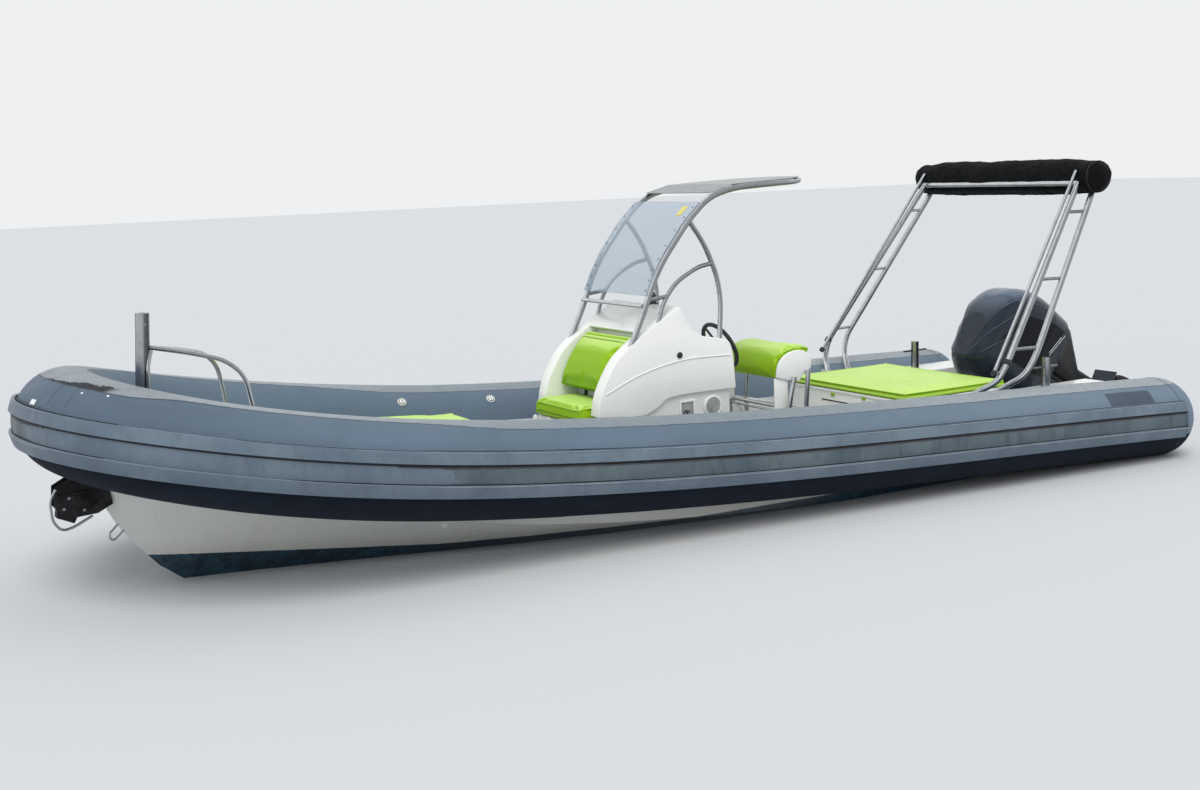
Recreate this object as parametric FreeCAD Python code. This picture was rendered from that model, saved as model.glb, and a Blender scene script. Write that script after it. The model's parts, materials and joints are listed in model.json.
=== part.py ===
import FreeCAD, Part
import math
import os

from FreeCAD import Vector

# Rigid inflatable boat afloat, with its outboard tilted up.
# Millimetres. X forward to the bow, Y to port, Z up.
# Origin: centreline, at the transom's aft face, on the still water.

# Buoyancy tubes
TUBE_RADIUS = 272.0
STERN_AXIS_Y = 1138.0
BOW_START_X = 4625.0
BOW_START_Y = 869.0
BOW_LENGTH = 2419.0
BOW_POWER_X = 3.9
BOW_POWER_Y = 2.2
SHEER_BASE = 267.0
SHEER_RISE = 0.0422
SHEER_CURVE = 3.18e-6
SHEER_FOURTH = 2.14e-13
DOME_X = 40.0
DOME_EDGE_RADIUS = 225.0
DOME_EDGE_TURN = 58.0
MID_TUBE_STATIONS = (1500.0, 3100.0)
BOW_SHARES = (0.16825, 0.33609, 0.50393, 0.67011, 0.82803, 0.95453)
BOW_STATIONS = tuple(BOW_START_X + share * BOW_LENGTH for share in BOW_SHARES)
BOW_TIP_X = BOW_START_X + BOW_LENGTH
BOW_DRAWN_TIP_X = 7044.0
SEAT_GAP = 0.5

# Rubbing strakes, as angles round the tube above its side
STRAKE_PROUD = 26.0
BAND_PROUD = 9.0
STRAKE_UPPER = (27.5, 14.5)
STRAKE_BAND = (12.5, -7.0)
STRAKE_LOWER_END = -20.8

# Hull and deck moulding
HULL_STATIONS = (
    # keel x, keel z, chine x, chine y, chine z, tube station x
    (0.0, -420.0, 0.0, 860.0, -60.0, 0.0),
    (2000.0, -420.0, 2000.0, 880.0, -20.0, 2000.0),
    (3600.0, -405.0, 3600.0, 830.0, 50.0, 3600.0),
    (4700.0, -360.0, 4700.0, 720.0, 150.0, 4700.0),
    (5500.0, -270.0, 5400.0, 560.0, 260.0, 5400.0),
    (6100.0, -140.0, 5950.0, 400.0, 350.0, 5950.0),
    (6535.0, 0.0, 6350.0, 250.0, 440.0, 6450.0),
    (6740.0, 190.0, 6650.0, 150.0, 510.0, 6760.0),
    (6862.0, 350.0, 6830.0, 70.0, 560.0, 6900.0),
)
STEM_X = BOW_TIP_X - 79.0
STEM_SECTION = ((0.0, 560.0), (16.0, 600.0), (26.0, 660.0), (24.0, 950.0))
FLANGE_UNDER = (114.0, 245.0)
GUNWALE_INBOARD = 264.0
GUNWALE_ABOVE = 60.0
TUBE_CLEARANCE = 0.8
SOLE_Z = 130.0
COCKPIT_PLAN = ((920.0, 600.0), (1560.0, 690.0), (2100.0, 700.0), (3600.0, 620.0),
                (4600.0, 550.0), (5500.0, 530.0), (5900.0, 450.0), (6050.0, 390.0))
COCKPIT_LOW_PLAN = ((920.0, 600.0), (1560.0, 690.0), (2100.0, 700.0), (3600.0, 620.0), (4500.0, 550.0),
                    (4800.0, 500.0), (5300.0, 390.0), (5700.0, 290.0), (5850.0, 230.0))
COCKPIT_STEP_Z = 400.0
WELL_HALF = 500.0
WELL_FRONT_X = 860.0
WELL_FLOOR_Z = 110.0
TRANSOM_THICK = 60.0
TRANSOM_TOP_Z = 215.0
TRANSOM_CUT_HALF = 400.0
COVER_Z = 1500.0

# Stern quarter mouldings and their bollards
QUARTER_X = (60.0, 1560.0)
QUARTER_Y = (545.0, 850.0)
QUARTER_Z = (290.0, 475.0)
BOLLARD_AT = (600.0, 662.0)
BOLLARD_RADIUS = 30.0
BOLLARD_FOOT_RADIUS = 31.0
BOLLARD_HEAD_Z = 645.0
BOLLARD_TOP_Z = 700.0
BOLLARD_PIN_Z = 629.0
BOLLARD_PIN_RADIUS = 8.0
BOLLARD_PIN_HALF = 115.0

# Console
CONSOLE_HALF = 385.0
CONSOLE_WALL = 8.0
CONSOLE_SIDE = ((3085.0, 720.0), (3099.0, 930.0), (3113.0, 990.0), (3135.0, 1028.0), (3196.0, 1047.0),
                (3310.0, 1063.0), (3385.0, 1095.0), (3435.0, 1149.0), (3470.0, 1225.0), (3505.0, 1270.0),
                (3640.0, 1190.0), (3788.0, 1104.0), (3891.0, 1037.0), (3971.0, 965.0), (4047.0, 840.0),
                (4086.0, 753.0), (4104.0, 646.0), (3790.0, 615.0), (3734.0, 632.0), (3659.0, 667.0),
                (3598.0, 723.0))
PLINTH_HALF = 363.0
PLINTH_SIDE = ((3121.0, 130.0), (4075.0, 130.0), (4075.0, 740.0), (3121.0, 740.0))
RECESS_HALF = 290.0
RECESS_SIDE = ((3788.0, 1140.0), (3690.0, 1095.0), (3850.0, 745.0), (3850.0, 590.0), (4300.0, 590.0),
               (4300.0, 1140.0))
SPEAKER_AT = (3255.0, 620.0)
SPEAKER_RADIUS = 58.0
VENT_AT = (3448.0, 623.0)
VENT_HALF = (48.0, 44.0)
SOCKET_AT = (3508.0, 969.0)
SOCKET_RADIUS = 18.0

# Seat at the front of the console
FRONT_BASE_X = (4075.0, 4160.0)
FRONT_BASE_HALF = 285.0
FRONT_CUSHION = ((3853.0, 590.5), (4170.0, 590.5), (4192.0, 612.0), (4192.0, 676.0), (4168.0, 700.0),
                 (3853.0, 700.0))
FRONT_BACK = ((3849.2, 748.0), (3696.0, 1083.0), (3790.0, 1088.0), (3850.0, 1055.0), (3910.0, 990.0),
              (3954.0, 921.0), (3990.0, 830.0), (4003.0, 757.0), (3962.0, 742.0))

# Helm
WHEEL_AT = (2930.0, 0.0, 940.0)
WHEEL_TURN = 25.0
WHEEL_RADIUS = 175.0
WHEEL_RIM = 14.0

# Screen frame: tube centres in X and Z at the console's sides, foot first
FRAME_Y = 366.0
FRAME_FRONT = ((3870.0, 1007.0), (3766.0, 1209.0), (3671.0, 1433.0), (3594.0, 1561.0), (3403.0, 1793.0),
               (3249.0, 1927.0), (3058.0, 1978.0), (2800.0, 1990.0))
ROOF_TURN = ((2520.0, 330.0), (2380.0, 160.0), (2335.0, 0.0))
ROOF_TIP_Z = 2008.0
HOOP_REAR = ((3403.0, 1793.0), (3292.0, 1647.0), (3200.0, 1442.0), (3174.0, 1284.0), (3193.0, 1000.0))
HOOP_INNER = ((3234.0, 1518.0), (3341.0, 1502.0), (3507.0, 1421.0), (3606.0, 1300.0), (3662.0, 1120.0))
HOOP_LINK = ((3718.0, 1322.0), (3575.0, 1338.0))
CROSSBAR_AT = (3754.0, 1289.0)
SCREEN_LINE = ((3728.0, 1350.0), (3671.0, 1470.0), (3594.0, 1598.0), (3450.0, 1776.0), (3318.0, 1897.0))
SCREEN_THICK = 5.0

# Helm seat
SEAT_HALF = 300.0
SEAT_PANEL = ((2708.0, 735.0), (2698.0, 819.0), (2640.0, 879.0), (2557.0, 904.0), (2474.0, 896.0),
              (2416.0, 844.0), (2426.0, 772.0), (2477.0, 750.0), (2520.0, 695.0), (2586.0, 702.0))
SEAT_PANEL_THICK = 18.0
SEAT_ROLL = ((2716.0, 720.0), (2720.0, 822.0), (2655.0, 900.0), (2560.0, 930.0), (2466.0, 928.0),
             (2400.0, 915.0), (2398.0, 885.0), (2430.0, 872.0), (2440.0, 775.0), (2486.0, 755.0),
             (2530.0, 700.0), (2600.0, 700.0))
SEAT_LEG_FRONT = ((2588.8, 116.0), (2624.0, 517.0), (2600.0, 640.0), (2575.0, 730.0))
SEAT_LEG_REAR = ((2469.6, 116.0), (2482.0, 508.0), (2472.0, 640.0), (2460.0, 765.0))
SEAT_BARS = ((2625.0, 525.0), (2482.0, 500.0))

# Lockers
AFT_LOCKER_X = (922.0, 1870.0)
AFT_LOCKER_HALF = (540.0, 610.0)
AFT_LOCKER_STEP_X = 1562.0
AFT_LOCKER_TOP = 500.0
AFT_LID_TOP = 518.0
SUN_PAD_TOP = 575.0
BOW_LOCKER_PLAN = ((4680.0, 440.0), (5300.0, 350.0), (5700.0, 250.0), (5830.0, 200.0))
BOW_LID_PLAN = ((4665.0, 450.0), (5350.0, 450.0), (5816.0, 350.0))
BOW_LOCKER_TOP = 565.0
BOW_TOP_SLOPE = 0.08
BOW_LID_THICK = 15.0
BOW_PAD_THICK = 60.0
LOCKER_WALL = 8.0
HINGE_PIN = 5.0
HINGE_RING = 9.0

# Bow gear
BITT_FOOT = (6685.0, 0.0, 800.0)
BITT_TOP = (6637.0, 0.0, 1462.0)
BITT_RADIUS = 37.0
BITT_FOOT_RADIUS = 38.0
BITT_HEAD_Z = 1310.0
GUARD_Y = 55.2
EYE_POINTS = ((6822.0, 0.0, 386.0), (6912.0, 0.0, 305.0), (6890.0, 0.0, 265.0), (6800.0, 0.0, 346.0))
EYE_BAR = 12.0
RAIL_START = (6622.0, 0.0, 1279.0)
RAIL_POINTS = ((6430.0, 100.0, 1240.0), (6274.0, 200.0, 1196.0), (6191.0, 258.0, 1112.0),
               (6120.0, 277.0, 660.0))

# Stern arch, port side: front and rear tubes foot first, then the stay
ARCH_FRONT = ((1458.0, 676.0, 447.5), (1396.0, 759.0, 532.0), (1310.0, 895.0, 620.0), (1253.0, 925.0, 744.0),
              (403.0, 755.0, 1905.0))
ARCH_REAR = ((1255.0, 676.5, 447.5), (1195.0, 762.0, 521.0), (1092.0, 930.0, 645.0), (1035.0, 965.0, 764.0),
             (295.0, 792.0, 1852.0))
ARCH_STAY = ((1346.0, 893.0, 676.0), (414.0, 745.5, 1988.0))
STAY_LINK = ((1337.0, 892.0, 689.0), (1285.0, 912.0, 676.0))
RUNG_Z = (830.0, 1273.0, 1711.0)
BOOT_HALF = 925.0
BOOT_AT = (300.0, 1960.0)

# Stainless tube sizes
FRAME_TUBE = 38.0
HOOP_TUBE = 32.0
CROSS_TUBE = 25.0
ARCH_TUBE = 42.0
RUNG_TUBE = 22.0
BIMINI_TUBE = 24.0
RAIL_TUBE = 25.0
SEAT_TUBE = 32.0

# Outboard, drawn running and then tilted about its pivot
TILT_PIVOT = (50.0, 265.0)
TILT_REST = 61.0
STEER_AXIS_X = -200.0
CLAMP_Y = (105.0, 125.0)
CLAMP_SIDE = ((0.0, -150.0), (0.0, 215.0), (60.0, 215.0), (60.0, 125.0), (90.0, 125.0), (92.0, 285.0),
              (62.0, 308.0), (5.0, 308.0), (-60.0, 250.0), (-95.0, 120.0), (-98.0, -60.0), (-45.0, -150.0))
PIVOT_RADIUS = 20.0
KNUCKLE_RADIUS = 40.0
RUNNING_GAP = 0.3
LOWER_PIN = (-70.0, -20.0)
LOWER_PIN_RADIUS = 8.0
ROD_EYE = (-115.0, 0.0)
BARREL_RADIUS = 20.0
BARREL_LENGTH = 225.0
ROD_RADIUS = 9.0
SWIVEL_RADIUS = 45.0
SWIVEL_Z = (-400.0, 60.0)
STEER_SHAFT = 20.0
LEG_Z = (-690.0, 130.0)
PLATE_Z = (-700.0, -688.0)
PROP_AXIS_Z = -905.0
PROP_X = (-555.0, -440.0)
PROP_RADIUS = 185.0
PROP_HUB_RADIUS = 55.0
PROP_SHAFT = 14.0

os.makedirs("parts", exist_ok=True)
NODES = {}


def keep(name, shape):
    """Store a finished piece under its node name."""
    NODES[name] = shape
    return shape


def box(x, y, z):
    """Box between two limits on each axis."""
    return Part.makeBox(x[1] - x[0], y[1] - y[0], z[1] - z[0], Vector(x[0], y[0], z[0]))


def cylinder(radius, length, start, direction):
    """Cylinder from a start point along a direction."""
    return Part.makeCylinder(radius, length, Vector(*start), Vector(*direction))


def prism(points, y):
    """Closed side outline in X and Z, extruded between two Y limits."""
    corners = [Vector(px, y[0], pz) for px, pz in points]
    face = Part.Face(Part.makePolygon(corners + corners[:1]))
    return face.extrude(Vector(0, y[1] - y[0], 0))


def plan_prism(points, z):
    """Closed plan outline in X and Y, extruded between two Z limits."""
    corners = [Vector(px, py, z[0]) for px, py in points]
    face = Part.Face(Part.makePolygon(corners + corners[:1]))
    return face.extrude(Vector(0, 0, z[1] - z[0]))


def mirrored(shape):
    """The same shape on the other side of the centreline."""
    return shape.mirror(Vector(0, 0, 0), Vector(0, 1, 0))


def rod(points, diameter, share=0.45):
    """Round bar along straight runs joined by tangent arcs."""
    nodes = [Vector(*p) for p in points]
    edges = []
    start = nodes[0]
    for before, corner, after in zip(nodes, nodes[1:], nodes[2:]):
        back = (before - corner)
        ahead = (after - corner)
        reach = share * min(back.Length, ahead.Length)
        enter = corner + back.normalize() * reach
        leave = corner + ahead.normalize() * reach
        half = back.getAngle(ahead) / 2.0
        bisector = (back + ahead).normalize()
        centre = corner + bisector * (reach / math.cos(half))
        middle = centre - bisector * (reach * math.tan(half))
        edges.append(Part.LineSegment(start, enter).toShape())
        edges.append(Part.Arc(enter, middle, leave).toShape())
        start = leave
    edges.append(Part.LineSegment(start, nodes[-1]).toShape())
    path = Part.Wire(edges)
    section = Part.Wire(Part.makeCircle(diameter / 2.0, nodes[0], nodes[1] - nodes[0]))
    return path.makePipeShell([section], True, False)


def fused(shapes):
    """One solid from shapes that overlap."""
    return shapes[0].multiFuse(shapes[1:]).removeSplitter()


# Tube path

def sheer(x):
    """Height of the tube's axis at a station."""
    return SHEER_BASE + SHEER_RISE * x - SHEER_CURVE * x ** 2 + SHEER_FOURTH * x ** 4


def tube_axis(x):
    """Axis point of the port tube and its outward direction, at a station."""
    if x <= BOW_START_X:
        slope = (BOW_START_Y - STERN_AXIS_Y) / BOW_START_X
        normal = Vector(-slope, 1, 0)
        y = STERN_AXIS_Y + slope * x
    else:
        along = min((x - BOW_START_X) / BOW_LENGTH, 1.0)
        across = (1.0 - along ** BOW_POWER_X) ** (1.0 / BOW_POWER_Y)
        y = BOW_START_Y * across
        normal = Vector(BOW_POWER_X * along ** (BOW_POWER_X - 1.0) / BOW_LENGTH,
                        BOW_POWER_Y * across ** (BOW_POWER_Y - 1.0) / BOW_START_Y, 0)
    return Vector(x, y, sheer(x)), normal.normalize()


def tube_circle(x, radius, side=1):
    """Cross-section circle of a tube at a station."""
    centre, normal = tube_axis(x)
    along = Vector(normal.y, -normal.x, 0)
    centre.y *= side
    along.y *= side
    return Part.Wire(Part.makeCircle(radius, centre, along))


def stern_dome(radius):
    """Rounded end of a tube, as a turned nose about the tube's axis."""
    edge = DOME_EDGE_RADIUS * radius / TUBE_RADIUS
    turn = math.radians(DOME_EDGE_TURN)
    rim = radius - edge
    knuckle = Vector(-edge * math.sin(turn), 0, rim + edge * math.cos(turn))
    half = Vector(-edge * math.sin(turn / 2), 0, rim + edge * math.cos(turn / 2))
    nose_centre = rim * math.tan(turn)
    nose_radius = math.hypot(nose_centre - knuckle.x, knuckle.z)
    tip = Vector(nose_centre - nose_radius, 0, 0)
    mid_angle = math.atan2(knuckle.z, knuckle.x - nose_centre)
    mid_angle = (mid_angle + math.pi) / 2.0
    nose_mid = Vector(nose_centre + nose_radius * math.cos(mid_angle), 0, nose_radius * math.sin(mid_angle))
    wire = Part.Wire([
        Part.LineSegment(Vector(0, 0, 0), Vector(0, 0, radius)).toShape(),
        Part.Arc(Vector(0, 0, radius), half, knuckle).toShape(),
        Part.Arc(knuckle, nose_mid, tip).toShape(),
        Part.LineSegment(tip, Vector(0, 0, 0)).toShape()])
    dome = Part.Face(wire).revolve(Vector(0, 0, 0), Vector(1, 0, 0), 360)
    centre, normal = tube_axis(DOME_X)
    dome.rotate(Vector(0, 0, 0), Vector(0, 0, 1), math.degrees(math.atan2(-normal.x, normal.y)))
    dome.translate(centre)
    return dome


def side_tube(radius):
    """Port tube from its stern dome to the start of the bow."""
    stations = (DOME_X,) + MID_TUBE_STATIONS + (BOW_START_X,)
    body = Part.makeLoft([tube_circle(x, radius) for x in stations], True, False)
    return body.fuse(stern_dome(radius))


def bow_tube(radius):
    """Bow chamber, port to starboard round the stem."""
    stations = (BOW_START_X,) + BOW_STATIONS
    port = [tube_circle(x, radius) for x in stations]
    stem = [tube_circle(BOW_START_X + BOW_LENGTH, radius)]
    return Part.makeLoft(port + stem + bow_return(radius, stations), True, False)


def bow_return(radius, stations):
    """Starboard sections of the bow, in order away from the stem."""
    sections = []
    for x in reversed(stations):
        centre, normal = tube_axis(x)
        centre.y = -centre.y
        along = Vector(-normal.y, -normal.x, 0)
        sections.append(Part.Wire(Part.makeCircle(radius, centre, along)))
    return sections


# Rubbing strakes

def strake_section(x, side=1):
    """Strake profile on the tube's outer side at a station."""
    centre, normal = tube_axis(x)
    centre.y *= side
    normal.y *= side

    def point(angle, radius):
        turn = math.radians(angle)
        return centre + normal * (radius * math.cos(turn)) + Vector(0, 0, radius * math.sin(turn))

    def arc(first, last, radius):
        return Part.Arc(point(first, radius), point((first + last) / 2.0, radius), point(last, radius)).toShape()

    inner = TUBE_RADIUS + SEAT_GAP
    band = inner + BAND_PROUD
    outer = inner + STRAKE_PROUD
    top, groove = STRAKE_UPPER
    band_top, band_low = STRAKE_BAND
    low = STRAKE_LOWER_END
    edges = [arc(top, groove, outer),
             Part.LineSegment(point(groove, outer), point(band_top, band)).toShape(),
             arc(band_top, band_low, band),
             Part.LineSegment(point(band_low, band), point(band_low, outer)).toShape(),
             arc(band_low, low, outer),
             Part.LineSegment(point(low, outer), point(low, inner)).toShape(),
             arc(low, top, inner),
             Part.LineSegment(point(top, inner), point(top, outer)).toShape()]
    return Part.Wire(edges)


def tubes_and_strakes():
    """Three air chambers, with the strake of each."""
    port = side_tube(TUBE_RADIUS)
    keep("tube_port", port)
    keep("tube_starboard", mirrored(port))
    keep("tube_bow", bow_tube(TUBE_RADIUS))
    stations = (DOME_X,) + MID_TUBE_STATIONS + (BOW_START_X,)
    strake = Part.makeLoft([strake_section(x) for x in stations], True, False)
    keep("strake_port", strake)
    keep("strake_starboard", mirrored(strake))
    bow = (BOW_START_X,) + BOW_STATIONS
    sections = [strake_section(x) for x in bow]
    sections.append(strake_section(BOW_START_X + BOW_LENGTH))
    sections += [strake_section(x, -1) for x in reversed(bow)]
    keep("strake_bow", largest(Part.makeLoft(sections, True, False).cut(NODES["tube_bow"])))


# Hull

def hull_section(row):
    """Closed hull outline through keel, chines, flanges and gunwales."""
    keel_x, keel_z, chine_x, chine_y, chine_z, station = row
    keel_x, chine_x, station = bow_x(keel_x), bow_x(chine_x), bow_x(station)
    axis, normal = tube_axis(station)
    inward = Vector(0, -1, 0) if station <= BOW_START_X else normal * -1.0
    under = axis + inward * FLANGE_UNDER[0]
    rail = axis + inward * GUNWALE_INBOARD
    half = [Vector(chine_x, chine_y, chine_z),
            Vector(under.x, under.y, axis.z - FLANGE_UNDER[1]),
            Vector(rail.x, rail.y, axis.z + GUNWALE_ABOVE)]
    other = [Vector(p.x, -p.y, p.z) for p in reversed(half)]
    corners = [Vector(keel_x, 0, keel_z)] + half + other
    return Part.makePolygon(corners + corners[:1])


def eased_rows(rows, parts):
    """Rows of a table with cubic steps between them."""
    eased = []
    for number in range(len(rows) - 1):
        before = rows[max(number - 1, 0)]
        first, last = rows[number], rows[number + 1]
        after = rows[min(number + 2, len(rows) - 1)]
        for step in range(parts):
            t = step / parts
            eased.append(tuple(0.5 * (2 * b + (c - a) * t + (2 * a - 5 * b + 4 * c - d) * t ** 2
                                      + (3 * b - a - 3 * c + d) * t ** 3)
                               for a, b, c, d in zip(before, first, last, after)))
    return eased + [rows[-1]]


def stem_section():
    """Last hull outline, a narrow stem."""
    keel, chine, under, rail = STEM_SECTION
    half = [Vector(STEM_X, y, z) for y, z in (chine, under, rail)]
    other = [Vector(p.x, -p.y, p.z) for p in reversed(half)]
    corners = [Vector(STEM_X, 0, keel[1])] + half + other
    return Part.makePolygon(corners + corners[:1])


def cockpit_space():
    """Open space of the cockpit above its sole, wider above the step."""
    spaces = []
    for plan, z in ((COCKPIT_LOW_PLAN, (SOLE_Z, COCKPIT_STEP_Z + 1.0)), (COCKPIT_PLAN, (COCKPIT_STEP_Z, COVER_Z))):
        starboard = [(x, -y) for x, y in reversed(plan)]
        spaces.append(plan_prism(list(plan) + starboard, z))
    return spaces[0].fuse(spaces[1])


def hull():
    """Hull with its sole, gunwale flanges, transom and outboard well."""
    sections = [hull_section(row) for row in eased_rows(HULL_STATIONS, 2)] + [stem_section()]
    body = Part.makeLoft(sections, True, True)
    clear = TUBE_RADIUS + TUBE_CLEARANCE
    port = side_tube(clear)
    body = body.cut(port).cut(mirrored(port)).cut(bow_tube(clear))
    body = body.cut(cockpit_space())
    well = box((TRANSOM_THICK, WELL_FRONT_X), (-WELL_HALF, WELL_HALF), (WELL_FLOOR_Z, COVER_Z))
    notch = box((-10.0, WELL_FRONT_X), (-TRANSOM_CUT_HALF, TRANSOM_CUT_HALF), (TRANSOM_TOP_Z, COVER_Z))
    body = body.cut(well).cut(notch)
    keep("hull", max(body.Solids, key=lambda solid: solid.Volume))


def largest(shape):
    """Biggest solid of a cut shape."""
    return max(shape.Solids, key=lambda solid: solid.Volume)


def pair(shape):
    """A port piece with its mirror image, as two solids."""
    return Part.makeCompound(list(shape.Solids) + list(mirrored(shape).Solids))


def quarters():
    """Stern quarter mouldings with a bollard on each."""
    block = box(QUARTER_X, QUARTER_Y, QUARTER_Z)
    port = largest(block.cut(side_tube(TUBE_RADIUS + TUBE_CLEARANCE)).cut(NODES["hull"]))
    keep("quarter_port", port)
    keep("quarter_starboard", mirrored(port))
    x, y = BOLLARD_AT
    post = cylinder(BOLLARD_FOOT_RADIUS, BOLLARD_HEAD_Z - QUARTER_Z[1], (x, y, QUARTER_Z[1]), (0, 0, 1))
    head = cylinder(BOLLARD_RADIUS, BOLLARD_TOP_Z - BOLLARD_HEAD_Z + 5.0, (x, y, BOLLARD_HEAD_Z - 5.0), (0, 0, 1))
    pin = cylinder(BOLLARD_PIN_RADIUS, 2 * BOLLARD_PIN_HALF, (x - BOLLARD_PIN_HALF, y, BOLLARD_PIN_Z), (1, 0, 0))
    keep("stern_bollards", pair(fused([post, head, pin])))


# Bow gear

def at_bow(shape):
    """Bow fitting drawn at the drawn tip, moved with the bow's tip."""
    moved = shape.copy()
    moved.translate(Vector(BOW_TIP_X - BOW_DRAWN_TIP_X, 0, 0))
    return moved


def bow_x(x):
    """Station ahead of the bow's start, drawn out or in with the bow's length."""
    drawn = BOW_DRAWN_TIP_X - BOW_START_X
    return x if x <= BOW_START_X else BOW_START_X + (x - BOW_START_X) * BOW_LENGTH / drawn


def bow_gear():
    """Bow bitt, rail and towing eye."""
    foot, top = Vector(*BITT_FOOT), Vector(*BITT_TOP)
    neck = foot + (top - foot) * ((BITT_HEAD_Z - foot.z) / (top.z - foot.z))
    post = Part.makeCylinder(BITT_FOOT_RADIUS, (neck - foot).Length, foot, top - foot)
    head = Part.makeCylinder(BITT_RADIUS, (top - neck).Length + 5.0, neck - (top - foot).normalize() * 5.0, top - foot)
    post = at_bow(post.fuse(head))
    keep("bow_bitt", largest(post.cut(NODES["hull"])))
    port = rod((RAIL_START,) + RAIL_POINTS, RAIL_TUBE)
    rail = at_bow(fused([port, mirrored(port)]))
    keep("bow_rail", largest(rail.cut(post).cut(NODES["hull"])))
    eye = at_bow(rod(EYE_POINTS, EYE_BAR))
    keep("bow_eye", largest(eye.cut(NODES["hull"])))


def bow_roller():
    """Anchor roller under the bow, with the folded anchor on it."""
    side = ((6900.0, 600.0), (7090.0, 640.0), (7165.0, 600.0), (7175.0, 500.0), (7120.0, 430.0),
            (6960.0, 440.0), (6880.0, 480.0))
    cheeks = [prism(side, (y, y + 8.0)) for y in (-48.0, 40.0)]
    bridge = box((6900.0, 7080.0), (-48.0, 48.0), (592.0, 600.0))
    roller = cylinder(32.0, 70.0, (7120.0, -35.0, 560.0), (0, 1, 0))
    axle = cylinder(8.0, 112.0, (7120.0, -56.0, 560.0), (0, 1, 0))
    bracket = at_bow(fused(cheeks + [bridge, roller, axle]))
    keep("bow_roller", largest(bracket.cut(NODES["hull"]).cut(bow_tube(TUBE_RADIUS + TUBE_CLEARANCE))))
    shank = prism(((6930.0, 500.0), (7150.0, 520.0), (7150.0, 495.0), (6935.0, 470.0)), (-10.0, 10.0))
    crown = prism(((7060.0, 519.0), (7150.0, 519.0), (7165.0, 440.0), (7080.0, 400.0), (7050.0, 450.0)),
                  (-32.0, 32.0))
    keep("anchor", largest(at_bow(fused([shank, crown])).cut(NODES["hull"])))
    guard = rod(((7160.0, GUARD_Y, 595.0), (7195.0, GUARD_Y, 540.0), (7190.0, GUARD_Y, 430.0), (7150.0, GUARD_Y, 375.0),
                 (7095.0, GUARD_Y, 383.0), (6990.0, GUARD_Y, 432.0)), 14.0)
    keep("roller_guard", at_bow(guard))


# Lockers

def hollow_plan(plan, z, wall):
    """Open-topped locker from a port plan outline."""
    port = list(plan)
    outline = port + [(x, -y) for x, y in reversed(port)]
    corners = [Vector(x, y, z[0]) for x, y in outline]
    face = Part.Face(Part.makePolygon(corners + corners[:1]))
    outer = face.extrude(Vector(0, 0, z[1] - z[0]))
    inner = face.makeOffset2D(-wall, 2).extrude(Vector(0, 0, z[1] - z[0]))
    inner.translate(Vector(0, 0, wall))
    return outer.cut(inner)


def sorted_pair(first, second):
    """Two limits in rising order."""
    return (min(first, second), max(first, second))


def hinge(wall_x, rim_z, away, half, tab):
    """Lugs and pin outside a locker's wall, and the lid's rings and tabs."""
    x, z = wall_x + away * 12.0, rim_z + 9.0
    fixed = [cylinder(HINGE_PIN, 2 * half, (x, -half, z), (0, 1, 0))]
    moving = []
    for side in (1, -1):
        y = sorted_pair(side * half, side * (half - 16.0))
        fixed.append(box(sorted_pair(wall_x, x + away * 8.0), y, (rim_z - 60.0, z + 7.0)))
        y = sorted_pair(side * (half - 22.0), side * (half - 62.0))
        ring = cylinder(HINGE_RING, 40.0, (x, y[0], z), (0, 1, 0))
        plate = box(sorted_pair(x, x - away * tab), y, (z + 1.0, z + HINGE_RING))
        moving.append(fused([ring, plate]).cut(cylinder(HINGE_PIN + RUNNING_GAP, 42.0, (x, y[0] - 1.0, z), (0, 1, 0))))
    return fixed, moving


def aft_locker():
    """Locker under the sun pad, its lid on a rear hinge, and the pad."""
    x0, x1 = AFT_LOCKER_X
    narrow, half = AFT_LOCKER_HALF
    step = AFT_LOCKER_STEP_X
    fixed, moving = hinge(x0, AFT_LOCKER_TOP, -1, 300.0, 60.0)
    plan = ((x0, narrow), (step, narrow), (step, half), (x1, half))
    body = hollow_plan(plan, (SOLE_Z, AFT_LOCKER_TOP), LOCKER_WALL)
    keep("aft_locker", fused([body] + fixed))
    lid = box((x0 + 14.0, x1 + 6.0), (-half, half), (AFT_LOCKER_TOP + 0.5, AFT_LID_TOP))
    keep("aft_lid", fused([lid] + moving))
    keep("sun_pad", box((x0 + 14.0, x1 + 10.0), (-half - 8.0, half + 8.0), (AFT_LID_TOP + 0.5, SUN_PAD_TOP)))


def sloped_layer(plan, low, high):
    """Layer of a plan outline between two heights above the bow locker's sloping rim."""
    x0, x1 = plan[0][0] - 50.0, plan[-1][0] + 50.0
    start, end = bow_rim(x0), bow_rim(x1)
    outline = list(plan) + [(x, -y) for x, y in reversed(plan)]
    side = prism(((x0, start + low), (x1, end + low), (x1, end + high), (x0, start + high)), (-900.0, 900.0))
    return side.common(plan_prism(outline, (0.0, 1200.0)))


def bow_rim(x):
    """Height of the bow locker's rim at a station."""
    return BOW_LOCKER_TOP + BOW_TOP_SLOPE * (x - BOW_LOCKER_PLAN[0][0])


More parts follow.
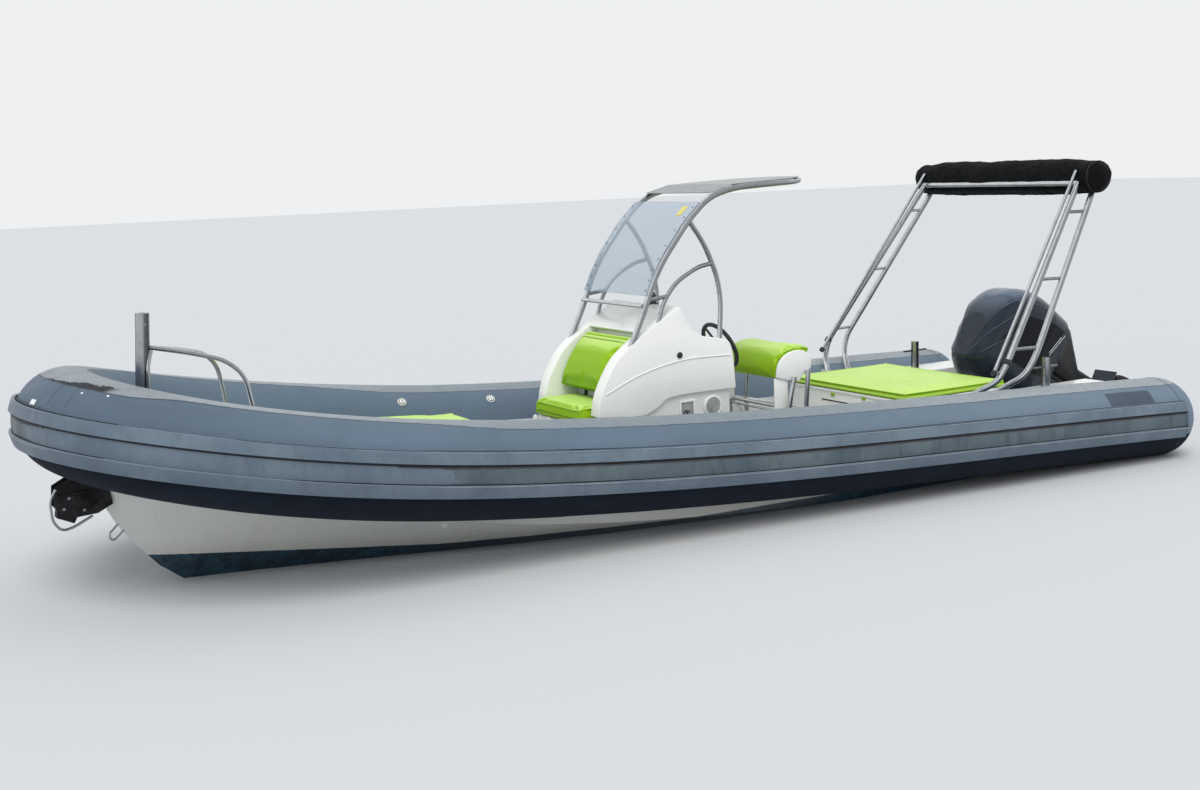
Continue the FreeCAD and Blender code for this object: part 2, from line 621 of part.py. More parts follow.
def bow_locker():
    """Locker in the bow, its lid on a front hinge, and the cushion."""
    front = BOW_LOCKER_PLAN[-1][0]
    body = hollow_plan(BOW_LOCKER_PLAN, (SOLE_Z, 800.0), LOCKER_WALL)
    body = body.cut(sloped_layer(BOW_LOCKER_PLAN, 0.0, 400.0))
    fixed, moving = hinge(front, bow_rim(front), 1, 170.0, 44.0)
    keep("bow_locker", fused([body] + fixed))
    lid = sloped_layer(BOW_LID_PLAN, 0.5, BOW_LID_THICK)
    keep("bow_lid", fused([lid] + moving))
    cushion = sloped_layer(BOW_LID_PLAN, BOW_LID_THICK + 0.5, BOW_LID_THICK + BOW_PAD_THICK)
    for side in (1, -1):
        y = sorted_pair(side * 107.0, side * 149.0)
        cushion = cushion.cut(box((front - 36.0, front + 40.0), y, (bow_rim(front), bow_rim(front) + 19.0)))
    keep("bow_cushion", cushion)


# Console and helm

def side_face(points):
    """Face of a side outline at the centreline."""
    corners = [Vector(x, 0, z) for x, z in points]
    return Part.Face(Part.makePolygon(corners + corners[:1]))


def thick_prism(face, half):
    """Side face extruded to both sides of the centreline."""
    moved = face.copy()
    moved.translate(Vector(0, -half, 0))
    return moved.extrude(Vector(0, 2 * half, 0))


def console_solid():
    """Console's outer shape with its plinth and front recess."""
    outer = thick_prism(side_face(CONSOLE_SIDE), CONSOLE_HALF)
    plinth = thick_prism(side_face(PLINTH_SIDE), PLINTH_HALF)
    return outer.fuse(plinth).cut(thick_prism(side_face(RECESS_SIDE), RECESS_HALF))


def console():
    """Hollow console moulding, its fittings and the seat in its front."""
    wall = CONSOLE_WALL
    inside = thick_prism(side_face(CONSOLE_SIDE).makeOffset2D(-wall, 2), CONSOLE_HALF - wall)
    plinth = thick_prism(side_face(PLINTH_SIDE).makeOffset2D(-wall, 2), PLINTH_HALF - wall)
    lower = plinth.copy()
    lower.translate(Vector(0, 0, -wall - 1.0))
    recess = thick_prism(side_face(RECESS_SIDE).makeOffset2D(wall, 2), RECESS_HALF + wall)
    space = inside.fuse(plinth).fuse(lower).cut(recess)
    keep("console", largest(CONSOLE_OUTER.cut(space)))
    keep("front_seat_base", box(FRONT_BASE_X, (-FRONT_BASE_HALF, FRONT_BASE_HALF), (SOLE_Z, 590.0)))
    keep("front_seat_cushion", prism(FRONT_CUSHION, (-FRONT_BASE_HALF, FRONT_BASE_HALF)))
    keep("front_seat_back", prism(FRONT_BACK, (-FRONT_BASE_HALF, FRONT_BASE_HALF)))
    x, z = SPEAKER_AT
    speaker = cylinder(SPEAKER_RADIUS, 10.0, (x, PLINTH_HALF, z), (0, 1, 0))
    x, z = VENT_AT
    across, up = VENT_HALF
    frame = box((x - across, x + across), (PLINTH_HALF, PLINTH_HALF + 8.0), (z - up, z + up))
    hole = box((x - across + 12.0, x + across - 12.0), (0.0, 500.0), (z - up + 12.0, z + up - 12.0))
    x, z = SOCKET_AT
    socket = cylinder(SOCKET_RADIUS, 8.0, (x, CONSOLE_HALF, z), (0, 1, 0))
    keep("console_fittings", Part.makeCompound([speaker] + frame.cut(hole).Solids + [socket]))


def along_wheel(distance):
    """Point on the wheel's axis, ahead of the wheel's centre."""
    turn = math.radians(WHEEL_TURN)
    return (WHEEL_AT[0] + distance * math.cos(turn), WHEEL_AT[1], WHEEL_AT[2] - distance * math.sin(turn))


def helm():
    """Steering wheel, its boss on the console, and the engine control."""
    turn = math.radians(WHEEL_TURN)
    axis = (math.cos(turn), 0, -math.sin(turn))
    boss = cylinder(32.0, 160.0, along_wheel(62.0), axis).cut(CONSOLE_OUTER)
    boss = boss.cut(cylinder(12.3, 50.0, along_wheel(60.0), axis))
    keep("helm_boss", largest(boss))
    rim = Part.makeTorus(WHEEL_RADIUS - WHEEL_RIM, WHEEL_RIM, Vector(*WHEEL_AT), Vector(*axis))
    hub = cylinder(34.0, 30.0, along_wheel(-4.0), axis)
    shaft = cylinder(12.0, 98.0, along_wheel(2.0), axis)
    spokes = []
    for angle in (90.0, 210.0, 330.0):
        spoke = Part.makeBox(WHEEL_RADIUS - 20.0, 22.0, 6.0, Vector(10.0, -11.0, -3.0))
        spoke.rotate(Vector(0, 0, 0), Vector(0, 0, 1), angle)
        spoke.rotate(Vector(0, 0, 0), Vector(0, 1, 0), 90.0 + WHEEL_TURN)
        spoke.translate(Vector(*along_wheel(6.0)))
        spokes.append(spoke)
    keep("steering_wheel", fused([rim, hub, shaft] + spokes))
    base = box((3150.0, 3270.0), (-330.0, -250.0), (1000.0, 1105.0))
    lever = cylinder(9.0, 110.0, (3215.0, -290.0, 1090.0), (-0.35, 0, 0.94))
    knob = Part.makeSphere(20.0, Vector(3176.0, -290.0, 1195.0))
    keep("engine_control", largest(fused([base, lever, knob]).cut(CONSOLE_OUTER)))


def side_rod(points, y, diameter):
    """Bar in a fore-and-aft plane at one side."""
    return rod([(x, y, z) for x, z in points], diameter)


def strip(points, near, far):
    """Closed outline between two offsets above a side line."""
    lower, upper = [], []
    for number, (x, z) in enumerate(points):
        before = points[max(number - 1, 0)]
        after = points[min(number + 1, len(points) - 1)]
        run = math.hypot(after[0] - before[0], after[1] - before[1])
        across, up = -(after[1] - before[1]) / run, (after[0] - before[0]) / run
        if across * 1.0 + up < 0:
            across, up = -across, -up
        lower.append((x + across * near, z + up * near))
        upper.append((x + across * far, z + up * far))
    return lower + upper[::-1]


def screen():
    """Tube frame over the console, the clear screen and the roof plate."""
    port = [(x, FRAME_Y, z) for x, z in FRAME_FRONT]
    turn = [(x, y, ROOF_TIP_Z - 8.0 * (number == 0)) for number, (x, y) in enumerate(ROOF_TURN)]
    path = port + turn + [(x, -y, z) for x, y, z in reversed(port + turn[:-1])]
    x, z = CROSSBAR_AT
    bar = cylinder(CROSS_TUBE / 2.0, 2 * FRAME_Y, (x, -FRAME_Y, z), (0, 1, 0))
    whole = fused([rod(path, FRAME_TUBE), bar])
    keep("screen_frame", largest(whole.cut(CONSOLE_OUTER)))
    hoop = fused([side_rod(HOOP_REAR, FRAME_Y, HOOP_TUBE), side_rod(HOOP_INNER, FRAME_Y, HOOP_TUBE - 4.0),
                  side_rod(HOOP_LINK, FRAME_Y, CROSS_TUBE)])
    keep("screen_hoops", pair(largest(hoop.cut(CONSOLE_OUTER).cut(whole))))
    reach = FRAME_TUBE / 2.0 + 0.6
    glass = prism(strip(SCREEN_LINE, 0.0, SCREEN_THICK), (-FRAME_Y - 8.0, FRAME_Y + 8.0))
    keep("windscreen", glass.cut(rod(path, FRAME_TUBE + 0.6)))
    roof_line = ((3235.0, 1931.0), (3058.0, 1978.0), (2800.0, 1990.0), (2330.0, 2008.0))
    plate = prism(strip(roof_line, reach, reach + 4.0), (-FRAME_Y, FRAME_Y))
    plan = [(3300.0, FRAME_Y), (2800.0, FRAME_Y)] + [(px, py) for px, py in ROOF_TURN[:-1]]
    outline = plan + [(px, -py) for px, py in reversed(plan)]
    plate = plate.common(plan_prism(outline, (1900.0, 2100.0))).cut(rod(path, FRAME_TUBE + 0.6))
    keep("roof_plate", largest(plate))


def helm_seat():
    """Bolster seat with its end panels on a tube frame."""
    half = SEAT_HALF
    keep("helm_bolster", prism(SEAT_ROLL, (-half + 0.5, half - 0.5)))
    keep("seat_panels", pair(prism(SEAT_PANEL, (half, half + SEAT_PANEL_THICK))))
    y = half + SEAT_PANEL_THICK + SEAT_TUBE / 2.0 + RUNNING_GAP
    bars = []
    for side in (y, -y):
        bars.append(side_rod(SEAT_LEG_FRONT, side, SEAT_TUBE))
        bars.append(side_rod(SEAT_LEG_REAR, side, SEAT_TUBE))
        start, end = Vector(SEAT_BARS[0][0], side, SEAT_BARS[0][1]), Vector(SEAT_BARS[1][0], side, SEAT_BARS[1][1])
        bars.append(Part.makeCylinder(CROSS_TUBE / 2.0, (end - start).Length, start, end - start))
    for x, z in SEAT_BARS:
        bars.append(cylinder(CROSS_TUBE / 2.0, 2 * y, (x, -y, z), (0, 1, 0)))
    keep("seat_frame", fused(bars).cut(box((2300.0, 2800.0), (-500.0, 500.0), (0.0, SOLE_Z))))


# Stern arch

def line_at(points, z):
    """Point at a height on the straight run between the last two points."""
    first, last = Vector(*points[-2]), Vector(*points[-1])
    return first + (last - first) * ((z - first.z) / (last.z - first.z))


def boot_solid():
    """Folded canopy in its boot."""
    x, z = BOOT_AT
    sections = []
    for y, wide, high in ((-BOOT_HALF, 40.0, 40.0), (-860.0, 115.0, 100.0), (-600.0, 128.0, 118.0),
                          (600.0, 128.0, 118.0), (860.0, 115.0, 100.0), (BOOT_HALF, 40.0, 40.0)):
        ellipse = Part.Ellipse(Vector(x, y, z), wide, high).toShape()
        ellipse.rotate(Vector(x, y, z), Vector(1, 0, 0), 90)
        sections.append(Part.Wire(ellipse))
    return Part.makeLoft(sections, True, True)


def stern_arch():
    """Arch of two tubes a side, its rungs, top bar and canopy stay."""
    front, rear = rod(ARCH_FRONT, ARCH_TUBE), rod(ARCH_REAR, ARCH_TUBE)
    parts = [front, rear]
    for z in RUNG_Z:
        start, end = line_at(ARCH_FRONT, z), line_at(ARCH_REAR, z)
        parts.append(Part.makeCylinder(RUNG_TUBE / 2.0, (end - start).Length, start, end - start))
    top = Vector(*ARCH_FRONT[-1])
    side = fused(parts)
    bar = cylinder(ARCH_TUBE / 2.0, 2 * top.y, (top.x, -top.y, top.z), (0, 1, 0))
    arch = fused([side, mirrored(side), bar]).cut(box((900.0, 1700.0), (-900.0, 900.0), (300.0, QUARTER_Z[1])))
    keep("stern_arch", arch)
    foot, head = Vector(*ARCH_STAY[0]), Vector(*ARCH_STAY[1])
    stay = Part.makeCylinder(BIMINI_TUBE / 2.0, (head - foot).Length, foot, head - foot)
    near, far = Vector(*STAY_LINK[0]), Vector(*STAY_LINK[1])
    link = Part.makeCylinder(9.0, (far - near).Length, near, far - near)
    stay = largest(stay.fuse(link).cut(front))
    keep("bimini_stays", pair(stay))
    boot = boot_solid()
    wide = [rod(ARCH_FRONT, ARCH_TUBE + 0.6), rod(ARCH_REAR, ARCH_TUBE + 0.6),
            Part.makeCylinder(BIMINI_TUBE / 2.0 + 0.3, (head - foot).Length + 1.0, foot, head - foot)]
    for shape in wide:
        boot = boot.cut(shape).cut(mirrored(shape))
    reach = top.y + 10.0
    boot = boot.cut(cylinder(ARCH_TUBE / 2.0 + 0.3, 2 * reach, (top.x, -reach, top.z), (0, 1, 0)))
    keep("bimini_boot", largest(boot))


# Outboard

def tilted(shape):
    """Outboard piece turned from its running place to its place at rest."""
    turned = shape.copy()
    turned.rotate(Vector(0, 0, 0), Vector(0, 1, 0), TILT_REST)
    turned.translate(Vector(TILT_PIVOT[0], 0, TILT_PIVOT[1]))
    return turned


def rounded_plan(back, front, half, corner, z):
    """Rounded rectangle in plan at one height."""
    cut = corner * (1.0 - math.sqrt(0.5))
    points = ((front, half), (back, half), (back, -half), (front, -half))
    edges = []
    ends = []
    for x, y in points:
        sx, sy = (1 if x == front else -1), (1 if y == half else -1)
        beside = Vector(x, y - sy * corner, z)
        ahead = Vector(x - sx * corner, y, z)
        middle = Vector(x - sx * cut, y - sy * cut, z)
        ends.append((beside, middle, ahead) if sx == sy else (ahead, middle, beside))
    for number, (first, middle, last) in enumerate(ends):
        edges.append(Part.Arc(first, middle, last).toShape())
        edges.append(Part.LineSegment(last, ends[(number + 1) % 4][0]).toShape())
    return Part.Wire(edges)


def clamp_bracket():
    """Bracket clamped over the transom, with the tilt pivot and lower pin."""
    parts = [prism(CLAMP_SIDE, CLAMP_Y), prism(CLAMP_SIDE, (-CLAMP_Y[1], -CLAMP_Y[0]))]
    for side in (1, -1):
        parts.append(box((-14.0, 0.0), sorted_pair(side * 110.0, side * 175.0), (-150.0, 205.0)))
    y = CLAMP_Y[1] + 6.0
    parts.append(cylinder(PIVOT_RADIUS, 2 * y, (TILT_PIVOT[0], -y, TILT_PIVOT[1]), (0, 1, 0)))
    parts.append(cylinder(LOWER_PIN_RADIUS, 2 * y, (LOWER_PIN[0], -y, LOWER_PIN[1]), (0, 1, 0)))
    keep("clamp_bracket", fused(parts))


def swivel_bracket():
    """Bracket that tilts about the pivot and carries the steering shaft."""
    parts = []
    axis = STEER_AXIS_X
    for side in (1, -1):
        y = sorted_pair(side * 32.0, side * 92.0)
        parts.append(box((axis + 10.0, 0.0), y, (-32.0, 32.0)))
        parts.append(cylinder(KNUCKLE_RADIUS, 60.0, (0.0, y[0], 0.0), (0, 1, 0)))
    parts.append(cylinder(SWIVEL_RADIUS, SWIVEL_Z[1] - SWIVEL_Z[0], (axis, 0.0, SWIVEL_Z[0]), (0, 0, 1)))
    body = fused(parts)
    body = body.cut(cylinder(PIVOT_RADIUS + RUNNING_GAP, 300.0, (0.0, -150.0, 0.0), (0, 1, 0)))
    body = body.cut(cylinder(STEER_SHAFT + RUNNING_GAP, 600.0, (axis, 0.0, -450.0), (0, 0, 1)))
    keep("swivel_bracket", tilted(body))


def tilt_cylinder():
    """Barrel on the lower pin and rod towards the swivel bracket."""
    turn = math.radians(TILT_REST)
    eye = Vector(TILT_PIVOT[0] + ROD_EYE[0] * math.cos(turn), 0, TILT_PIVOT[1] - ROD_EYE[0] * math.sin(turn))
    pin = Vector(LOWER_PIN[0], 0, LOWER_PIN[1])
    along = (eye - pin).normalize()
    reach = (eye - pin).Length
    print("tilt cylinder length", round(reach, 1), "along", round(along.x, 4), round(along.z, 4))
    barrel = Part.makeCylinder(BARREL_RADIUS, BARREL_LENGTH - 12.0, pin + along * 12.0, along)
    barrel = fused([barrel, cylinder(16.0, 50.0, (pin.x, -25.0, pin.z), (0, 1, 0))])
    barrel = barrel.cut(cylinder(LOWER_PIN_RADIUS + RUNNING_GAP, 60.0, (pin.x, -30.0, pin.z), (0, 1, 0)))
    bore = Part.makeCylinder(ROD_RADIUS + RUNNING_GAP, BARREL_LENGTH, pin + along * 22.0, along)
    keep("tilt_barrel", barrel.cut(bore))
    shaft = Part.makeCylinder(ROD_RADIUS, reach - 142.0, pin + along * 132.0, along)
    end = cylinder(16.0, 24.0, (eye.x, -12.0, eye.z), (0, 1, 0))
    keep("tilt_rod", fused([shaft, end]).cut(cylinder(8.0, 30.0, (eye.x, -15.0, eye.z), (0, 1, 0))))


LEG = ((-400.0, -252.0, 60.0, 50.0, LEG_Z[0]), (-395.0, -252.0, 72.0, 50.0, -330.0),
       (-600.0, -252.0, 170.0, 80.0, 0.0), (-625.0, -252.0, 220.0, 100.0, LEG_Z[1]))


def midsection():
    """Leg behind the swivel tube, with its yokes and steering shaft."""
    axis = STEER_AXIS_X
    leg = Part.makeLoft([rounded_plan(*row) for row in LEG], True, True)
    top = box((axis - 120.0, axis + 55.0), (-55.0, 55.0), (SWIVEL_Z[1] + 1.0, LEG_Z[1]))
    low = box((axis - 120.0, axis + 45.0), (-40.0, 40.0), (SWIVEL_Z[0] - 60.0, SWIVEL_Z[0] - 1.0))
    shaft = cylinder(STEER_SHAFT, LEG_Z[1] - SWIVEL_Z[0] + 20.0, (axis, 0.0, SWIVEL_Z[0] - 20.0), (0, 0, 1))
    keep("midsection", tilted(fused([leg, top, low, shaft])))


def gearcase():
    """Gearcase with its plate, torpedo and skeg."""
    axis = STEER_AXIS_X
    strut = Part.makeLoft([rounded_plan(axis - 230.0, axis - 40.0, 34.0, 30.0, LEG_Z[0]),
                           rounded_plan(axis - 225.0, axis - 20.0, 30.0, 28.0, PROP_AXIS_Z)], True, True)
    plate = prism(((axis - 325.0, PLATE_Z[0]), (axis - 10.0, PLATE_Z[0]), (axis - 10.0, LEG_Z[0]),
                   (axis - 325.0, LEG_Z[0])), (-105.0, 105.0))
    torpedo = cylinder(PROP_HUB_RADIUS, 240.0, (PROP_X[1] + 3.0, 0.0, PROP_AXIS_Z), (1, 0, 0))
    nose = Part.makeSphere(PROP_HUB_RADIUS, Vector(PROP_X[1] + 243.0, 0.0, PROP_AXIS_Z))
    skeg = prism(((axis - 210.0, PROP_AXIS_Z), (axis - 30.0, PROP_AXIS_Z), (axis - 120.0, -1110.0),
                  (axis - 190.0, -1110.0)), (-7.0, 7.0))
    shaft = cylinder(PROP_SHAFT, 90.0, (PROP_X[1] - 80.0, 0.0, PROP_AXIS_Z), (1, 0, 0))
    keep("gearcase", tilted(fused([strut, plate, torpedo, nose, skeg, shaft])))


def propeller():
    """Three-bladed propeller."""
    hub = cylinder(PROP_HUB_RADIUS, PROP_X[1] - PROP_X[0], (PROP_X[0], 0.0, PROP_AXIS_Z), (1, 0, 0))
    hub = hub.cut(cylinder(PROP_SHAFT + RUNNING_GAP, 90.0, (PROP_X[1] - 85.0, 0.0, PROP_AXIS_Z), (1, 0, 0)))
    parts = [hub]
    middle = (PROP_X[0] + PROP_X[1]) / 2.0
    for angle in (30.0, 150.0, 270.0):
        blade = Part.makeCylinder(75.0, 9.0, Vector(0, 0, -4.5), Vector(0, 0, 1))
        blade.rotate(Vector(0, 0, 0), Vector(0, 1, 0), 90.0)
        blade.translate(Vector(0, 0, PROP_RADIUS - 75.0))
        blade.rotate(Vector(0, 0, 0), Vector(0, 0, 1), 28.0)
        blade.rotate(Vector(0, 0, 0), Vector(1, 0, 0), angle)
        blade.translate(Vector(middle, 0.0, PROP_AXIS_Z))
        parts.append(blade)
    keep("propeller", tilted(fused(parts)))


LOWER_COWL = ((-625.0, 156.0, 253.0, 134.0, 130.0), (-649.0, 166.0, 263.0, 147.0, 302.0))
UPPER_COWL = ((-649.0, 166.0, 266.0, 147.0, 302.5), (-660.0, 130.0, 247.0, 158.0, 560.0),
              (-564.0, 55.0, 200.0, 147.0, 730.0), (-355.0, -19.0, 105.0, 95.0, 811.0))


def cowling():
    """Lower and upper cowl as shells round the engine block."""
    def shell(rows, wall, floor):
        outer = Part.makeLoft([rounded_plan(*row) for row in rows], True, False)
        inner_rows = [(b + wall, f - wall, h - wall, c - wall, z) for b, f, h, c, z in rows]
        inner_rows[0 if floor else -1] = inner_rows[0 if floor else -1][:4] + (
            rows[0][4] + wall if floor else rows[-1][4] - wall,)
        return outer.cut(Part.makeLoft([rounded_plan(*row) for row in inner_rows], True, False))

    keep("lower_cowl", tilted(shell(LOWER_COWL, 8.0, True)))
    keep("cowl", tilted(shell(UPPER_COWL, 8.0, False)))
    keep("engine_block", tilted(box((-470.0, -80.0), (-140.0, 140.0), (138.0, 600.0))))


tubes_and_strakes()
hull()
quarters()
bow_gear()
bow_roller()
CONSOLE_OUTER = console_solid()
console()
helm()
screen()
helm_seat()
aft_locker()
bow_locker()
stern_arch()
clamp_bracket()
swivel_bracket()
tilt_cylinder()
midsection()
gearcase()
propeller()
cowling()

for name, shape in NODES.items():
    shape.exportStep("parts/" + name + ".step")
    print(name, shape.ShapeType, len(shape.Solids), "solids, valid", shape.isValid(),
          "volume", round(shape.Volume / 1e6, 3), "litres")
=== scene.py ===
"""Dresses the rigid inflatable boat: finishes, cushions, canopy boot, fittings, light and camera."""
import json
import logging
import math
from dataclasses import dataclass, field
from enum import Enum
from typing import Callable, Iterable, Sequence

import bmesh
import bpy
from mathutils import Matrix, Vector

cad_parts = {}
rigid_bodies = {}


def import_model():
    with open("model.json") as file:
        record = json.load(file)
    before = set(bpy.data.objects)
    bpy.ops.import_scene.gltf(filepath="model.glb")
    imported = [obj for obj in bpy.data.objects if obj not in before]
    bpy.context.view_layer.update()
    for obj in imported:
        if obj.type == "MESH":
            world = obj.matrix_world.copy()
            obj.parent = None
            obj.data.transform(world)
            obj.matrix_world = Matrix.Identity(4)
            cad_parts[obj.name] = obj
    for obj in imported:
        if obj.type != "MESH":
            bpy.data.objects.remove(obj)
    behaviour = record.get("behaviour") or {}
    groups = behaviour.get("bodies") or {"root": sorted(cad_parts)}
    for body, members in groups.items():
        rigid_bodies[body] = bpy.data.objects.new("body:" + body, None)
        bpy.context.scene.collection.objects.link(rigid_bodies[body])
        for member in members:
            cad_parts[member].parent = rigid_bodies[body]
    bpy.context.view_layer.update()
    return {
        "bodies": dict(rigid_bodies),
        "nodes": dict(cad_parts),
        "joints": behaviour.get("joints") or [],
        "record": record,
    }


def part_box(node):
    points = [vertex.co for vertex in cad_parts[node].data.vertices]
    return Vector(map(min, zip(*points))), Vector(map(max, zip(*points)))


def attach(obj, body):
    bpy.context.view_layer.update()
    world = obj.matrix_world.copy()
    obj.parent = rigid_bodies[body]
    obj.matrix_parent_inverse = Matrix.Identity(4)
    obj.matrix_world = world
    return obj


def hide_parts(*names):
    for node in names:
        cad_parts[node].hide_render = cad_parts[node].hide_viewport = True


LOG = logging.getLogger("boat")
Socket = bpy.types.NodeSocket
Material = bpy.types.Material
Piece = bpy.types.Object
Point = tuple[float, float, float]
Flat = tuple[float, float]
Colour = tuple[float, float, float]
UP: Point = (0.0, 0.0, 1.0)
FORE: Point = (1.0, 0.0, 0.0)
PORTWARD: Point = (0.0, 1.0, 0.0)
RIM_ANGLE = 60.0
WELD = 0.00005
# Finishes with their material slots
WHITE = ("soft_white", "gelcoat")
STEEL = ("polished_steel", "stainless")
BLACK = ("moulded_black", "black_plastic")


class Body(Enum):
    """Bodies that the added pieces ride on."""

    BOAT = "boat"
    BOW_LID = "bow_lid"
    AFT_LID = "aft_lid"
    TILT = "tilt"
    STEER = "steer"


class Side(Enum):
    """Port or starboard, as the sign of Y."""

    PORT = 1.0
    STARBOARD = -1.0

    @property
    def label(self) -> str:
        """The side's name in small letters."""
        return self.name.lower()

    def off(self, point: Point) -> Point:
        """A port point, on this side."""
        return point[0], point[1] * self.value, point[2]


# Node graphs

class Graph:
    """Small helper that builds one material's nodes."""

    def __init__(self, name: str) -> None:
        """Start a material with one principled shader.

        Args:
            name: The material's name.
        """
        self.material = bpy.data.materials.new(name)
        self.material.use_nodes = True
        self.tree = self.material.node_tree
        self.tree.nodes.clear()
        self.output = self.tree.nodes.new("ShaderNodeOutputMaterial")
        self.shader = self.tree.nodes.new("ShaderNodeBsdfPrincipled")
        self.link(self.shader.outputs[0], self.output.inputs[0])
        self.coords = self.tree.nodes.new("ShaderNodeTexCoord")
        self.place = self.tree.nodes.new("ShaderNodeSeparateXYZ")
        self.link(self.coords.outputs["Object"], self.place.inputs[0])
        self.facing = self.tree.nodes.new("ShaderNodeSeparateXYZ")
        self.link(self.coords.outputs["Normal"], self.facing.inputs[0])

    def link(self, source: Socket, target: Socket) -> None:
        """Join two sockets."""
        self.tree.links.new(source, target)

    def feed(self, socket: Socket, value: object) -> None:
        """Link a socket, or set its plain value.

        Args:
            socket: The input.
            value: A number, a colour or another socket.
        """
        if isinstance(value, Socket):
            self.link(value, socket)
        elif isinstance(value, tuple) and len(value) == 3 and socket.type == "RGBA":
            socket.default_value = (*value, 1.0)
        else:
            socket.default_value = value

    def set(self, **values: float) -> None:
        """Set plain numbers on the shader's own sockets, named with underscores."""
        for name, value in values.items():
            self.feed(self.shader.inputs[name.replace("_", " ").title().replace("Ior", "IOR")], value)

    def maths(self, kind: str, first: object, second: object = 0.0) -> Socket:
        """One arithmetic step.

        Args:
            kind: The operation's name.
            first: Number or socket.
            second: Number or socket.

        Returns:
            The result's socket.
        """
        node = self.tree.nodes.new("ShaderNodeMath")
        node.operation = kind
        self.feed(node.inputs[0], first)
        self.feed(node.inputs[1], second)
        return node.outputs[0]

    def times(self, first: object, second: object) -> Socket:
        """Product of two numbers or sockets."""
        return self.maths("MULTIPLY", first, second)

    def plus(self, first: object, second: object) -> Socket:
        """Sum of two numbers or sockets."""
        return self.maths("ADD", first, second)

    def minus(self, first: object, second: object) -> Socket:
        """First number or socket less the second."""
        return self.maths("SUBTRACT", first, second)

    def span(self, value: object, low: float, high: float) -> Socket:
        """Share from 0 at low to 1 at high, smoothed and clamped.

        Args:
            value: What is measured.
            low: Where the share is 0.
            high: Where the share is 1.

        Returns:
            The share's socket.
        """
        node = self.tree.nodes.new("ShaderNodeMapRange")
        node.interpolation_type = "SMOOTHSTEP"
        self.feed(node.inputs["Value"], value)
        node.inputs["From Min"].default_value = low
        node.inputs["From Max"].default_value = high
        return node.outputs["Result"]

    def stretched(self, scale: Point) -> Socket:
        """Object coordinates scaled on each axis.

        Args:
            scale: Factors along X, Y and Z.

        Returns:
            The stretched place.
        """
        node = self.tree.nodes.new("ShaderNodeMapping")
        self.link(self.coords.outputs["Object"], node.inputs["Vector"])
        node.inputs["Scale"].default_value = scale
        return node.outputs[0]

    def pattern(self, kind: str, vector: Socket | None = None, **numbers: float) -> bpy.types.Node:
        """Texture node with its numbers set.

        Args:
            kind: The node's type.
            vector: Coordinates, when not the object's own.
            numbers: The node's plain inputs.

        Returns:
            The node.
        """
        node = self.tree.nodes.new(kind)
        self.link(vector or self.coords.outputs["Object"], node.inputs["Vector"])
        for name, value in numbers.items():
            node.inputs[name].default_value = value
        return node

    def noise(self, scale: float, detail: float = 3.0, rough: float = 0.55,
              vector: Socket | None = None) -> Socket:
        """Cloudy pattern in object space.

        Args:
            scale: How many clouds fit in a metre.
            detail: Layers of finer clouds.
            rough: Strength of the finer layers.
            vector: Coordinates, when not the object's own.

        Returns:
            A value socket around a half.
        """
        node = self.pattern("ShaderNodeTexNoise", vector, Scale=scale, Detail=detail, Roughness=rough)
        return node.outputs[0]

    def cells(self, scale: float) -> Socket:
        """Distance in a cell pattern, in object space."""
        return self.pattern("ShaderNodeTexVoronoi", Scale=scale).outputs["Distance"]

    def weave(self, scale: float) -> Socket:
        """Two crossed sets of fine threads.

        Args:
            scale: Threads per metre, roughly.

        Returns:
            The pattern's socket.
        """
        rows = []
        for axis in ("X", "Y", "Z"):
            node = self.pattern("ShaderNodeTexWave", Scale=scale)
            node.bands_direction = axis
            rows.append(node.outputs["Fac"])
        both = self.times(rows[0], rows[1])
        return self.plus(both, self.times(rows[2], 0.5))

    def mix(self, share: object, first: object, second: object) -> Socket:
        """Blend of two colours.

        Args:
            share: How much of the second.
            first: Colour or socket.
            second: Colour or socket.

        Returns:
            The colour's socket.
        """
        node = self.tree.nodes.new("ShaderNodeMix")
        node.data_type = "RGBA"
        self.feed(node.inputs[0], share)
        self.feed(node.inputs[6], first)
        self.feed(node.inputs[7], second)
        return node.outputs[2]

    def colour(self, value: object) -> None:
        """Set the base colour."""
        self.feed(self.shader.inputs["Base Color"], value)

    def gloss(self, low: float, high: float, pattern: Socket) -> None:
        """Let roughness wander between two numbers with a pattern.

        Args:
            low: Lowest roughness.
            high: Highest roughness.
            pattern: What it follows.
        """
        node = self.tree.nodes.new("ShaderNodeMapRange")
        self.link(pattern, node.inputs["Value"])
        node.inputs["From Min"].default_value = 0.3
        node.inputs["From Max"].default_value = 0.7
        node.inputs["To Min"].default_value = low
        node.inputs["To Max"].default_value = high
        self.link(node.outputs["Result"], self.shader.inputs["Roughness"])

    def relief(self, height: Socket, depth: float, strength: float = 1.0) -> None:
        """Bump the surface by a pattern.

        Args:
            height: The pattern.
            depth: Its height in metres.
            strength: Share of its effect.
        """
        node = self.tree.nodes.new("ShaderNodeBump")
        node.inputs["Distance"].default_value = depth
        node.inputs["Strength"].default_value = strength
        self.link(height, node.inputs["Height"])
        self.link(node.outputs[0], self.shader.inputs["Normal"])


# Finishes

def shaded(tone: Colour, share: float) -> Colour:
    """Colour made darker or lighter by a factor."""
    return tuple(channel * share for channel in tone)


class Finish:
    """One finish: its name, and how its nodes are laid."""

    name: str

    def build(self) -> Material:
        """Make the material.

        Returns:
            The material.
        """
        graph = Graph(self.name)
        self.lay(graph)
        return graph.material

    def lay(self, graph: Graph) -> None:
        """Lay its nodes."""
        raise NotImplementedError


